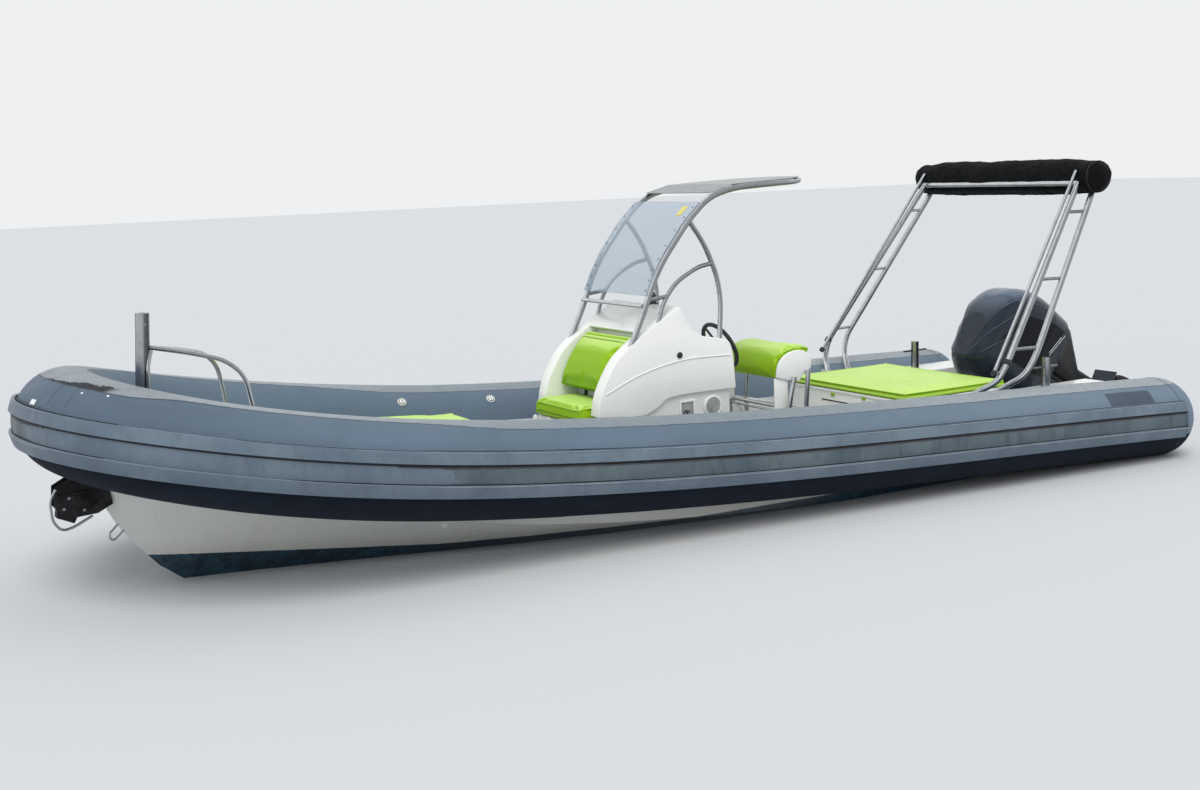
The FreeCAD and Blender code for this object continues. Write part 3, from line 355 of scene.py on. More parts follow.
@dataclass(frozen=True)
class PlainFinish(Finish):
    """Paint or moulded plastic with a faint mottle and fine grain."""

    name: str
    tone: Colour
    rough: Flat = (0.35, 0.5)
    metal: float = 0.0
    coat: float = 0.0
    mottle: float = 0.12
    grain: float = 0.0
    grain_scale: float = 900.0
    shine: float = 0.5

    def lay(self, graph: Graph) -> None:
        """Lay its nodes.

        Args:
            graph: The material in the making.
        """
        cloud = graph.noise(6.0, 5.0)
        darker = shaded(self.tone, 1.0 - self.mottle)
        graph.colour(graph.mix(graph.span(cloud, 0.35, 0.65), darker, self.tone))
        graph.gloss(self.rough[0], self.rough[1], graph.noise(25.0, 4.0))
        graph.set(metallic=self.metal, coat_weight=self.coat, specular_ior_level=self.shine)
        if self.grain > 0.0:
            graph.relief(graph.noise(self.grain_scale, 2.0), self.grain)


@dataclass(frozen=True)
class TubeFabric(Finish):
    """Coated fabric of the air tubes, bleached on top, with painted shade making it near black on the skin
    that faces down below the strakes.
    """

    name: str = "tube_fabric_faded"
    side: Colour = (0.092, 0.131, 0.176)
    top: Colour = (0.285, 0.315, 0.335)
    torn: Colour = (0.245, 0.268, 0.290)
    under: Colour = (0.001, 0.005, 0.014)
    under_edge: float = -0.345
    seam_line: Colour = (0.030, 0.038, 0.050)
    bared: Colour = (0.014, 0.016, 0.021)
    slime_and_shade: Colour = (0.003, 0.009, 0.021)
    bow_side: Colour = (0.062, 0.090, 0.125)
    stern_side: Colour = (0.140, 0.190, 0.242)
    streak: Colour = (0.07, 0.10, 0.135)
    middle_top: Colour = (0.155, 0.195, 0.225)

    def lay(self, graph: Graph) -> None:
        """Lay its nodes.

        Args:
            graph: The material in the making.
        """
        tone = graph.mix(self.above(graph, 0.0), self.worn(graph), self.chalk(graph))
        seam = graph.times(self.above(graph, -0.012), graph.minus(1.0, self.above(graph, -0.003)))
        tone = graph.mix(graph.times(seam, 0.8), tone, self.seam_line)
        tone = graph.mix(self.tear(graph), tone, self.bared)
        # Painted shade: the skin that faces down, below the strakes, is made near black, with a slime mottle.
        below = graph.span(graph.facing.outputs[2], self.under_edge + 0.02, self.under_edge - 0.01)
        slime_and_shade = graph.span(graph.noise(7.0, 4.0), 0.4, 0.7)
        tone = graph.mix(below, tone, graph.mix(slime_and_shade, self.under, self.slime_and_shade))
        graph.colour(tone)
        sheen = graph.plus(graph.times(graph.noise(18.0, 4.0), 0.35), 0.36)
        graph.feed(graph.shader.inputs["Roughness"], graph.maths("MAXIMUM", sheen, graph.times(below, 0.95)))
        graph.set(specular_ior_level=0.32)
        cloth = graph.weave(950.0)
        dents = graph.times(graph.noise(3.0, 3.0), 6.0)
        lap = graph.times(self.above(graph, 0.0), 2.5)
        graph.relief(graph.plus(cloth, graph.plus(dents, lap)), 0.00035, 0.7)

    def above(self, graph: Graph, shift: float) -> Socket:
        """Mask of the tube's top, down to the lap of the upper fabric or shifted from it."""
        return graph.span(graph.minus(self.past_lap(graph), shift), 0.0, 0.004)

    def past_lap(self, graph: Graph) -> Socket:
        """How far above the lap of the upper fabric the surface lies, in steps of its upward facing.

        Args:
            graph: The material in the making.

        Returns:
            The measure's socket.
        """
        x, up = graph.place.outputs[0], graph.facing.outputs[2]
        forward = graph.times(graph.span(x, 4.9, 5.6), 0.068)
        tip = graph.times(graph.span(x, 6.62, 6.90), -0.050)
        line = graph.plus(graph.plus(forward, tip), 0.884)
        ragged = graph.times(graph.minus(graph.noise(9.0, 5.0, 0.7), 0.5), 0.010)
        return graph.minus(graph.plus(up, ragged), line)

    def tear(self, graph: Graph) -> Socket:
        """Dark cloth bared where the pale coating has torn off outside the port bow.

        Args:
            graph: The material in the making.

        Returns:
            The mask's socket.
        """
        x, y, _ = graph.place.outputs
        past = self.past_lap(graph)
        wide = graph.plus(graph.times(graph.span(y, 0.20, 0.40), 0.038), 0.020)
        wander = graph.times(graph.minus(graph.noise(12.0, 6.0, 0.7), 0.5), 0.11)
        inner = graph.minus(past, graph.plus(wide, wander))
        mask = graph.times(graph.span(past, 0.0, 0.003), graph.span(inner, 0.002, -0.002))
        ends = graph.times(graph.span(y, 0.07, 0.11), graph.span(y, 0.55, 0.50))
        outer = graph.times(graph.span(graph.facing.outputs[0], 0.0, 0.04), graph.span(x, 6.82, 6.88))
        return graph.times(mask, graph.times(ends, outer))

    def worn(self, graph: Graph) -> Socket:
        """Colour of the tube's side, with soft clouds and downward streaks.

        Args:
            graph: The material in the making.

        Returns:
            The colour's socket.
        """
        cloud = graph.noise(1.4, 6.0, 0.6)
        streaks = graph.noise(9.0, 5.0, 0.65, graph.stretched((0.35, 0.35, 3.0)))
        tone = graph.mix(graph.span(cloud, 0.35, 0.7), self.side, shaded(self.side, 1.18))
        bow = graph.times(graph.span(graph.place.outputs[0], 6.0, 7.1), 0.45)
        tone = graph.mix(bow, tone, self.bow_side)
        stern = graph.times(graph.span(graph.place.outputs[0], 5.2, 1.2), 0.7)
        tone = graph.mix(stern, tone, self.stern_side)
        return graph.mix(graph.times(graph.span(streaks, 0.5, 0.75), 0.22), tone, self.streak)

    def chalk(self, graph: Graph) -> Socket:
        """Colour of the bleached top, palest where it is torn at the bow.

        Args:
            graph: The material in the making.

        Returns:
            The colour's socket.
        """
        x = graph.place.outputs[0]
        mottle = graph.span(graph.noise(22.0, 5.0), 0.4, 0.68)
        strip = graph.mix(mottle, self.top, shaded(self.top, 0.88))
        middle = graph.times(graph.span(x, 1.5, 3.2), graph.span(x, 6.0, 4.6))
        strip = graph.mix(graph.times(middle, 0.6), strip, self.middle_top)
        bow = graph.span(graph.plus(x, graph.times(graph.noise(5.0, 6.0, 0.7), 0.25)), 6.70, 6.85)
        scrapes = graph.span(graph.noise(11.0, 6.0), 0.45, 0.65)
        scraped = graph.mix(scrapes, self.torn, shaded(self.torn, 0.84))
        return graph.mix(bow, strip, scraped)


@dataclass(frozen=True)
class StrakeRubber(Finish):
    """Extruded rubber with scuffs, dust and a painted highlight on its ledges, and painted shade on its
    undersides.
    """

    name: str
    tone: Colour = (0.084, 0.118, 0.156)
    scuff: Colour = (0.120, 0.160, 0.200)
    dirt: Colour = (0.036, 0.050, 0.066)
    streaked: float = 0.25
    ledge_dust_and_highlight: Colour = (0.215, 0.262, 0.308)
    underside: Colour = (0.010, 0.013, 0.018)

    def lay(self, graph: Graph) -> None:
        """Lay its nodes.

        Args:
            graph: The material in the making.
        """
        cloud = graph.noise(3.0, 6.0, 0.62)
        smears = graph.noise(16.0, 6.0, 0.7, graph.stretched((1.0, 1.0, 0.25)))
        spots = graph.span(graph.cells(55.0), 0.10, 0.03)
        tone = graph.mix(graph.span(cloud, 0.35, 0.68), self.tone, self.scuff)
        tone = graph.mix(graph.times(graph.span(smears, 0.50, 0.72), self.streaked), tone, self.dirt)
        tone = graph.mix(graph.times(spots, 0.15), tone, self.dirt)
        # Dust and painted highlight: paler on faces that look up.
        ledge = graph.times(graph.span(graph.facing.outputs[2], 0.40, 0.62), 0.7)
        tone = graph.mix(ledge, tone, self.ledge_dust_and_highlight)
        # Painted shade: near black on faces that look down.
        shade = graph.span(graph.facing.outputs[2], -0.36, -0.60)
        tone = graph.mix(shade, tone, self.underside)
        graph.colour(tone)
        graph.gloss(0.36, 0.56, smears)
        graph.relief(graph.plus(smears, graph.noise(500.0, 2.0)), 0.0004, 0.6)


@dataclass(frozen=True)
class HullGelcoat(Finish):
    """White gelcoat, antifouling near the water and a non-skid sole."""

    name: str = "hull_gelcoat"
    # Toned down from white: painted shade of the hull under the tubes, and grime.
    white: Colour = (0.66, 0.66, 0.64)
    blue: Colour = (0.004, 0.018, 0.034)
    sole: Colour = (0.62, 0.63, 0.61)
    line_x: float = 5.2
    line_z: float = 0.060
    line_rise: float = 0.068
    grimy: Colour = (0.60, 0.59, 0.53)
    scummy: Colour = (0.46, 0.45, 0.36)
    faded_blue: Colour = (0.014, 0.050, 0.076)

    def lay(self, graph: Graph) -> None:
        """Lay its nodes.

        Args:
            graph: The material in the making.
        """
        x, _, z = graph.place.outputs
        rise = graph.times(graph.maths("MAXIMUM", graph.minus(x, self.line_x), 0.0), self.line_rise)
        line = graph.plus(rise, self.line_z)
        wet = graph.plus(graph.minus(z, line), graph.times(graph.minus(graph.noise(30.0, 4.0), 0.5), 0.004))
        grime = graph.noise(5.0, 6.0, 0.65, graph.stretched((1.0, 1.0, 0.3)))
        white = graph.mix(graph.times(graph.span(grime, 0.45, 0.75), 0.35), self.white, self.grimy)
        scum = graph.times(graph.span(wet, 0.09, 0.0), 0.35)
        white = graph.mix(scum, white, self.scummy)
        floor = graph.times(graph.span(graph.facing.outputs[2], 0.97, 0.995), graph.span(z, 0.16, 0.14))
        white = graph.mix(floor, white, self.sole)
        faded = graph.span(graph.noise(12.0, 6.0, 0.7), 0.4, 0.66)
        paint = graph.mix(faded, self.blue, self.faded_blue)
        outside = graph.maths("LESS_THAN", graph.facing.outputs[2], 0.5)
        share = graph.times(graph.span(wet, 0.002, -0.002), outside)
        graph.colour(graph.mix(share, white, paint))
        graph.gloss(0.12, 0.3, grime)
        tread = graph.times(graph.cells(140.0), floor)
        graph.relief(tread, 0.0012, 0.8)
        graph.set(coat_weight=0.3)


@dataclass(frozen=True)
class MouldedGelcoat(Finish):
    """White gelcoat of the console, lockers and seat panels."""

    name: str = "moulded_gelcoat"
    white: Colour = (0.83, 0.83, 0.80)
    grimy: Colour = (0.66, 0.66, 0.60)
    foot: Colour = (0.5, 0.5, 0.44)

    def lay(self, graph: Graph) -> None:
        """Lay its nodes.

        Args:
            graph: The material in the making.
        """
        grime = graph.noise(4.0, 6.0, 0.65, graph.stretched((1.0, 1.0, 0.35)))
        white = graph.mix(graph.times(graph.span(grime, 0.5, 0.8), 0.22), self.white, self.grimy)
        low = graph.times(graph.span(graph.place.outputs[2], 0.30, 0.13), 0.25)
        graph.colour(graph.mix(low, white, self.foot))
        graph.gloss(0.13, 0.28, grime)
        graph.relief(graph.noise(3.5, 2.0), 0.0012, 0.35)
        graph.set(coat_weight=0.35)


@dataclass(frozen=True)
class MarineVinyl(Finish):
    """Green marine vinyl, paler where the sun has bleached it."""

    name: str
    tone: Colour = (0.245, 0.445, 0.004)
    bleached: Colour = (0.55, 0.77, 0.20)
    bleach_from: float = 0.55

    def lay(self, graph: Graph) -> None:
        """Lay its nodes.

        Args:
            graph: The material in the making.
        """
        sun = graph.span(graph.facing.outputs[2], self.bleach_from, 1.0)
        cloud = graph.noise(3.0, 5.0, 0.6)
        tone = graph.mix(graph.times(sun, 0.85), self.tone, self.bleached)
        tone = graph.mix(graph.times(graph.span(cloud, 0.5, 0.8), 0.22), tone, shaded(self.tone, 0.72))
        graph.colour(tone)
        graph.gloss(0.34, 0.5, graph.noise(14.0, 3.0))
        graph.set(specular_ior_level=0.25)
        pores = graph.times(graph.cells(700.0), 0.35)
        pucker = graph.noise(16.0, 4.0, 0.6)
        graph.relief(graph.plus(pores, pucker), 0.0011, 0.5)


@dataclass(frozen=True)
class Steel(Finish):
    """Polished stainless tube with faint smears, and a painted reflection: darker underneath, on faces that
    look aft and in bands round upright tubes.
    """

    name: str = "polished_steel"
    tone: Colour = (0.70, 0.72, 0.74)
    dull_and_reflected_dark: Colour = (0.16, 0.17, 0.18)
    bands: float = 3.0
    phase: float = 2.2

    def lay(self, graph: Graph) -> None:
        """Lay its nodes.

        Args:
            graph: The material in the making.
        """
        smear = graph.noise(22.0, 5.0, 0.6)
        tone = graph.mix(graph.span(smear, 0.4, 0.75), self.tone, shaded(self.tone, 0.8))
        # Painted reflection: darker on faces that look down or aft.
        below = graph.span(graph.facing.outputs[2], 0.10, -0.45)
        aft = graph.span(graph.facing.outputs[0], 0.15, -0.55)
        tone = graph.mix(graph.times(below, 0.75), tone, self.dull_and_reflected_dark)
        tone = graph.mix(graph.times(aft, 0.35), tone, self.dull_and_reflected_dark)
        graph.colour(graph.mix(graph.times(self.streaks(graph), 0.72), tone, self.dull_and_reflected_dark))
        graph.gloss(0.16, 0.30, smear)
        graph.set(metallic=1.0)

    def streaks(self, graph: Graph) -> Socket:
        """Painted reflection: dark bands along an upright tube, between its bright ones.

        Args:
            graph: The material in the making.

        Returns:
            The mask's socket.
        """
        turn = graph.maths("ARCTAN2", graph.facing.outputs[1], graph.facing.outputs[0])
        wave = graph.maths("COSINE", graph.plus(graph.times(turn, self.bands), self.phase))
        level = graph.maths("ABSOLUTE", graph.facing.outputs[2])
        return graph.times(graph.span(wave, -0.1, 0.8), graph.span(level, 0.95, 0.75))


@dataclass(frozen=True)
class RustySteel(Finish):
    """Dark weathered galvanised steel with rust blooms."""

    name: str = "weathered_galvanising"
    dark: Colour = (0.006, 0.006, 0.007)
    rubbed: Colour = (0.024, 0.024, 0.027)
    rust: Colour = (0.045, 0.020, 0.016)

    def lay(self, graph: Graph) -> None:
        """Lay its nodes.

        Args:
            graph: The material in the making.
        """
        bloom = graph.span(graph.noise(16.0, 6.0, 0.7), 0.60, 0.72)
        worn = graph.span(graph.noise(9.0, 5.0), 0.4, 0.65)
        dull_and_reflected_dark = graph.mix(worn, self.dark, self.rubbed)
        graph.colour(graph.mix(graph.times(bloom, 0.5), dull_and_reflected_dark, self.rust))
        graph.gloss(0.55, 0.85, graph.noise(50.0, 4.0))
        graph.set(metallic=0.2, specular_ior_level=0.3)
        graph.relief(graph.noise(180.0, 5.0), 0.0008, 0.8)


@dataclass(frozen=True)
class ClearSheet(Finish):
    """Bent clear acrylic with a faint haze of salt."""

    name: str = "clear_acrylic"
    tone: Colour = (0.93, 0.96, 0.98)
    haze: Colour = (0.40, 0.48, 0.56)

    def lay(self, graph: Graph) -> None:
        """Lay its nodes.

        Args:
            graph: The material in the making.
        """
        graph.colour(self.tone)
        salt = graph.span(graph.noise(45.0, 6.0, 0.7), 0.55, 0.75)
        graph.gloss(0.02, 0.12, salt)
        graph.set(transmission_weight=1.0, ior=1.30)
        self.veil(graph, salt)

    def veil(self, graph: Graph, salt: Socket) -> None:
        """Lay a thin milky film over the clear sheet.

        Args:
            graph: The material in the making.
            salt: Where the film is thicker.
        """
        film = graph.tree.nodes.new("ShaderNodeBsdfDiffuse")
        film.inputs["Color"].default_value = (*self.haze, 1.0)
        share = graph.tree.nodes.new("ShaderNodeMixShader")
        amount = graph.plus(graph.times(salt, 0.14), 0.33)
        graph.link(amount, share.inputs[0])
        graph.link(graph.shader.outputs[0], share.inputs[1])
        graph.link(film.outputs[0], share.inputs[2])
        graph.link(share.outputs[0], graph.output.inputs[0])


@dataclass(frozen=True)
class Canvas(Finish):
    """Black woven canvas, dusty on top."""

    name: str = "black_canvas"
    tone: Colour = (0.0022, 0.0024, 0.0034)
    dusty: Colour = (0.010, 0.011, 0.014)

    def lay(self, graph: Graph) -> None:
        """Lay its nodes.

        Args:
            graph: The material in the making.
        """
        top = graph.span(graph.facing.outputs[2], 0.2, 1.0)
        dust = graph.times(top, graph.span(graph.noise(12.0, 5.0), 0.4, 0.7))
        graph.colour(graph.mix(graph.times(dust, 0.4), self.tone, self.dusty))
        graph.gloss(0.7, 0.9, graph.noise(30.0, 3.0))
        graph.set(specular_ior_level=0.2)
        creases = graph.noise(9.0, 5.0, 0.65, graph.stretched((1.0, 0.35, 1.0)))
        graph.relief(graph.plus(graph.times(creases, 7.0), graph.weave(800.0)), 0.0009, 0.8)


@dataclass(frozen=True)
class CowlPaint(Finish):
    """Dark blue-grey metallic gloss of the outboard."""

    name: str = "cowl_metallic"
    tone: Colour = (0.004, 0.009, 0.018)
    fleck: Colour = (0.012, 0.022, 0.040)
    sky_lit: Colour = (0.150, 0.190, 0.255)
    filmed: Colour = (0.05, 0.055, 0.062)

    def lay(self, graph: Graph) -> None:
        """Lay its nodes.

        Args:
            graph: The material in the making.
        """
        flake = graph.span(graph.noise(900.0, 2.0), 0.45, 0.6)
        film = graph.span(graph.noise(4.0, 5.0), 0.4, 0.8)
        tone = graph.mix(flake, self.tone, self.fleck)
        # Painted sky reflection: lighter blue on faces that look up.
        sky = graph.times(graph.span(graph.facing.outputs[2], 0.45, 0.95), 0.75)
        tone = graph.mix(sky, tone, self.sky_lit)
        graph.colour(graph.mix(graph.times(film, 0.06), tone, self.filmed))
        graph.gloss(0.24, 0.36, graph.noise(10.0, 4.0))
        graph.set(metallic=0.15, coat_weight=0.25, specular_ior_level=0.35)


# Modelling steps

class Bench:
    """Modelling steps that every sub-assembly shares."""

    @staticmethod
    def pick(*pieces: Piece) -> None:
        """Select these pieces alone, the first one active.

        Args:
            pieces: What to select.
        """
        bpy.ops.object.select_all(action="DESELECT")
        for piece in pieces:
            piece.select_set(True)
        bpy.context.view_layer.objects.active = pieces[0]

    @staticmethod
    def fresh(name: str) -> Piece:
        """Name the piece just added and move its place into its mesh.

        Args:
            name: Its name.

        Returns:
            The piece.
        """
        piece = bpy.context.object
        piece.name = name
        piece.data.name = name
        Bench.pick(piece)
        bpy.ops.object.transform_apply(location=True, rotation=True, scale=True)
        return piece

    @staticmethod
    def added(name: str, step: Callable[..., object], scale: Sequence[float] | None = None,
              **settings: object) -> Piece:
        """Add one mesh and take it as a piece.

        Args:
            name: The piece's name.
            step: The operator that adds it.
            scale: Its scale along X, Y and Z.
            settings: The operator's settings.

        Returns:
            The piece.
        """
        bpy.ops.object.select_all(action="DESELECT")
        step(**settings)
        if scale is not None:
            bpy.context.object.scale = scale
        return Bench.fresh(name)

    @staticmethod
    def turn_to(axis: Point) -> tuple[float, float, float]:
        """Euler angles that turn Z to an axis."""
        return Vector(axis).to_track_quat("Z", "Y").to_euler()

    @staticmethod
    def block(name: str, low: Point, high: Point, edge: float = 0.0, turn: Point = (0.0, 0.0, 0.0)) -> Piece:
        """Block between two corners with its edges rounded.

        Args:
            name: The piece's name.
            low: Lowest corner.
            high: Highest corner.
            edge: Edge radius.
            turn: Turn about its own centre.

        Returns:
            The piece.
        """
        centre = [(a + b) / 2.0 for a, b in zip(low, high)]
        piece = Bench.added(name, bpy.ops.mesh.primitive_cube_add, [b - a for a, b in zip(low, high)],
                            size=1.0, location=centre, rotation=turn)
        if edge > 0.0:
            Bench.worked(piece, bpy.ops.mesh.bevel, offset=edge, segments=3, affect="EDGES")
            Bench.soften(piece)
        return piece

    @staticmethod
    def drum(name: str, radius: float, depth: float, centre: Point, axis: Point, edge: float = 0.0,
             sides: int = 32) -> Piece:
        """Round disc or pin with its rims rounded.

        Args:
            name: The piece's name.
            radius: Its radius.
            depth: Its length.
            centre: Its middle.
            axis: Its axis.
            edge: Radius of its rims.
            sides: Faces round it.

        Returns:
            The piece.
        """
        piece = Bench.added(name, bpy.ops.mesh.primitive_cylinder_add, vertices=sides, radius=radius,
                            depth=depth, location=centre, rotation=Bench.turn_to(axis))
        if edge > 0.0:
            Bench.changed(piece, "BEVEL", width=edge, segments=2, limit_method="ANGLE",
                          angle_limit=math.radians(RIM_ANGLE))
        Bench.soften(piece)
        return piece

    @staticmethod
    def ring(name: str, radius: float, wire: float, centre: Point, axis: Point) -> Piece:
        """Round wire ring.

        Args:
            name: The piece's name.
            radius: Its radius.
            wire: Radius of its wire.
            centre: Its middle.
            axis: Its axis.

        Returns:
            The piece.
        """
        piece = Bench.added(name, bpy.ops.mesh.primitive_torus_add, major_radius=radius, minor_radius=wire,
                            major_segments=40, minor_segments=10, location=centre,
                            rotation=Bench.turn_to(axis))
        Bench.soften(piece)
        return piece

    @staticmethod
    def dome(name: str, radius: float, rise: float, centre: Point, axis: Point, sides: int = 16) -> Piece:
        """Low rounded head, such as a screw's.

        Args:
            name: The piece's name.
            radius: Its radius.
            rise: Its height.
            centre: Middle of its foot.
            axis: Its axis.
            sides: Faces round it.

        Returns:
            The piece.
        """
        piece = Bench.added(name, bpy.ops.mesh.primitive_uv_sphere_add, (radius, radius, rise),
                            segments=sides, ring_count=8, radius=1.0, location=centre,
                            rotation=Bench.turn_to(axis))
        Bench.soften(piece)
        return piece

    @staticmethod
    def changed(piece: Piece, kind: str, **settings: object) -> None:
        """Apply one modifier to a piece.

        Args:
            piece: The piece.
            kind: The modifier's type.
            settings: The modifier's settings.
        """
        Bench.pick(piece)
        tool = piece.modifiers.new(kind.lower(), kind)
        for name, value in settings.items():
            setattr(tool, name, value)
        bpy.ops.object.modifier_apply(modifier=tool.name)

    @staticmethod
    def worked(piece: Piece, step: Callable[..., object], **settings: object) -> None:
        """Run one edit-mode step on the whole of a piece.

        Args:
            piece: The piece.
            step: The operator.
            settings: The operator's settings.
        """
        Bench.pick(piece)
        bpy.ops.object.mode_set(mode="EDIT")
        bpy.ops.mesh.select_all(action="SELECT")
        step(**settings)
        bpy.ops.object.mode_set(mode="OBJECT")

    @staticmethod
    def sheet(name: str, columns: int, rows: int, place: Callable[[float, float], Vector],
              outward: Vector | None = None) -> Piece:
        """Grid with each vertex moved to its own place.

        Args:
            name: The piece's name.
            columns: Faces along it.
            rows: Faces across it.
            place: Gives a vertex's place from its two shares, each 0 to 1.
            outward: Where its faces look, when they have to be turned.

        Returns:
            The sheet, still without thickness.
        """
        piece = Bench.added(name, bpy.ops.mesh.primitive_grid_add, x_subdivisions=columns,
                            y_subdivisions=rows, size=1.0)
        for vertex in piece.data.vertices:
            vertex.co = place(vertex.co.x + 0.5, vertex.co.y + 0.5)
        if outward is not None:
            Bench.faced(piece, outward)
        return piece

    @staticmethod
    def faced(piece: Piece, outward: Vector) -> None:
        """Turn a sheet over if it looks inwards."""
        if piece.data.polygons[0].normal.dot(outward) < 0.0:
            piece.data.flip_normals()

    @staticmethod
    def thickened(piece: Piece, thick: float) -> None:
        """Give a sheet a thickness, inwards from its face."""
        Bench.changed(piece, "SOLIDIFY", thickness=thick, offset=-1.0)
        Bench.soften(piece)

    @staticmethod
    def on_skin(piece: Piece, point: Sequence[float], lift: float) -> Vector:
        """Nearest point on a piece's surface, lifted off it."""
        _, spot, normal, _ = piece.closest_point_on_mesh(Vector(point))
        return spot + normal * lift

    @staticmethod
    def soften(piece: Piece, angle: float = 40.0) -> None:
        """Shade smooth but for edges sharper than an angle, in degrees."""
        Bench.pick(piece)
        bpy.ops.object.shade_smooth_by_angle(angle=math.radians(angle))

    @staticmethod
    def bar(name: str, points: Sequence[Sequence[float]], radius: float, closed: bool = False) -> Piece:
        """Round bar, welt or wire along a smooth line.

        Args:
            name: The piece's name.
            points: Control points of the line.
            radius: The bar's radius.
            closed: Whether it runs round into itself.

        Returns:
            The piece as a mesh.
        """
        bpy.ops.object.select_all(action="DESELECT")
        bpy.ops.curve.primitive_nurbs_path_add(location=(0.0, 0.0, 0.0))
        piece = bpy.context.object
        curve = piece.data
        curve.splines.clear()
        spline = curve.splines.new("NURBS")
        spline.points.add(len(points) - 1)
        for spot, point in zip(spline.points, points):
            spot.co = (*point, 1.0)
        spline.use_cyclic_u = closed
        spline.order_u = 3
        spline.use_endpoint_u = not closed
        spline.resolution_u = 6
        curve.dimensions = "3D"
        curve.bevel_depth = radius
        curve.bevel_resolution = 3
        curve.use_fill_caps = not closed
        bpy.ops.object.convert(target="MESH")
        return Bench.fresh(name)

    @staticmethod
    def joined(name: str, pieces: Sequence[Piece]) -> Piece:
        """One piece from several.

        Args:
            name: The piece's name.
            pieces: What it is made of.

        Returns:
            The piece.
        """
        Bench.pick(*pieces)
        bpy.ops.object.join()
        return Bench.fresh(name)

    @staticmethod
    def welded_copy(node: Piece, name: str) -> Piece:
        """Copy of a fixed node with its own mesh and its loose triangles joined.

        Args:
            node: The fixed node.
            name: The copy's name.

        Returns:
            The copy.
        """
        other = node.copy()
        other.data = node.data.copy()
        bpy.context.scene.collection.objects.link(other)
        other.name = name
        other.data.name = name
        other.parent = None
        other.data.materials.clear()
        for key in list(other.keys()):
            del other[key]
        Bench.worked(other, bpy.ops.mesh.remove_doubles, threshold=WELD)
        return other

    @staticmethod
    def eased(piece: Piece, edge: float, kinked: bool) -> None:
        """Round a welded moulding: the kinks of its outline, then its sharp edges.

        Args:
            piece: The moulding.
            edge: Radius of its sharp edges.
            kinked: Whether its outline in side view has kinks to round.
        """
        Bench.pick(piece)
        bpy.ops.object.mode_set(mode="EDIT")
        bpy.ops.mesh.select_mode(type="EDGE")
        bpy.ops.mesh.select_all(action="SELECT")
        bpy.ops.mesh.dissolve_limited(angle_limit=math.radians(0.6))
        shape = bmesh.from_edit_mesh(piece.data)
        if kinked:
            for line in shape.edges:
                run = line.verts[1].co - line.verts[0].co
                bend = math.degrees(line.calc_face_angle(0.0))
                line.select = 2.0 < bend < 50.0 and abs(run.y) > 0.99 * run.length
            bmesh.update_edit_mesh(piece.data)
            bpy.ops.mesh.bevel(offset_type="PERCENT", offset_pct=42.0, segments=4, affect="EDGES")
        shape = bmesh.from_edit_mesh(piece.data)
        for line in shape.edges:
            line.select = math.degrees(line.calc_face_angle(0.0)) > 50.0
        bmesh.update_edit_mesh(piece.data)
        bpy.ops.mesh.bevel(offset=edge, segments=3, affect="EDGES", clamp_overlap=True)
        bpy.ops.object.mode_set(mode="OBJECT")
        Bench.soften(piece, 35.0)

    @staticmethod
    def remeshed(piece: Piece, size: float) -> None:
        """Rebuild a closed piece from small even faces.

        Args:
            piece: The piece.
            size: Size of its faces.
        """
        Bench.pick(piece)
        piece.data.remesh_voxel_size = size
        bpy.ops.object.voxel_remesh()

    @staticmethod
    def grown(piece: Piece, amount: float) -> None:
        """Move the whole surface out along its normals."""
        Bench.changed(piece, "DISPLACE", strength=amount, mid_level=0.0)

    @staticmethod
    def smoothed(piece: Piece, times: int) -> None:
        """Relax the surface."""
        Bench.changed(piece, "SMOOTH", iterations=times, factor=0.5)

    @staticmethod
    def refined(piece: Piece) -> None:
        """Subdivide the surface smoothly."""
        Bench.changed(piece, "SUBSURF", levels=1, render_levels=1)
        bpy.ops.object.shade_smooth()

    @staticmethod
    def rumpled(piece: Piece, size: float, amount: float) -> None:
        """Push the surface in and out by soft clouds of one size.

        Args:
            piece: The piece.
            size: Size of the clouds.
            amount: How far they push.
        """
        pattern = bpy.data.textures.new(piece.name + "_rumple", "CLOUDS")
        pattern.noise_scale = size
        pattern.noise_depth = 3
        Bench.changed(piece, "DISPLACE", texture=pattern, texture_coords="LOCAL", strength=amount,
                      mid_level=0.55)


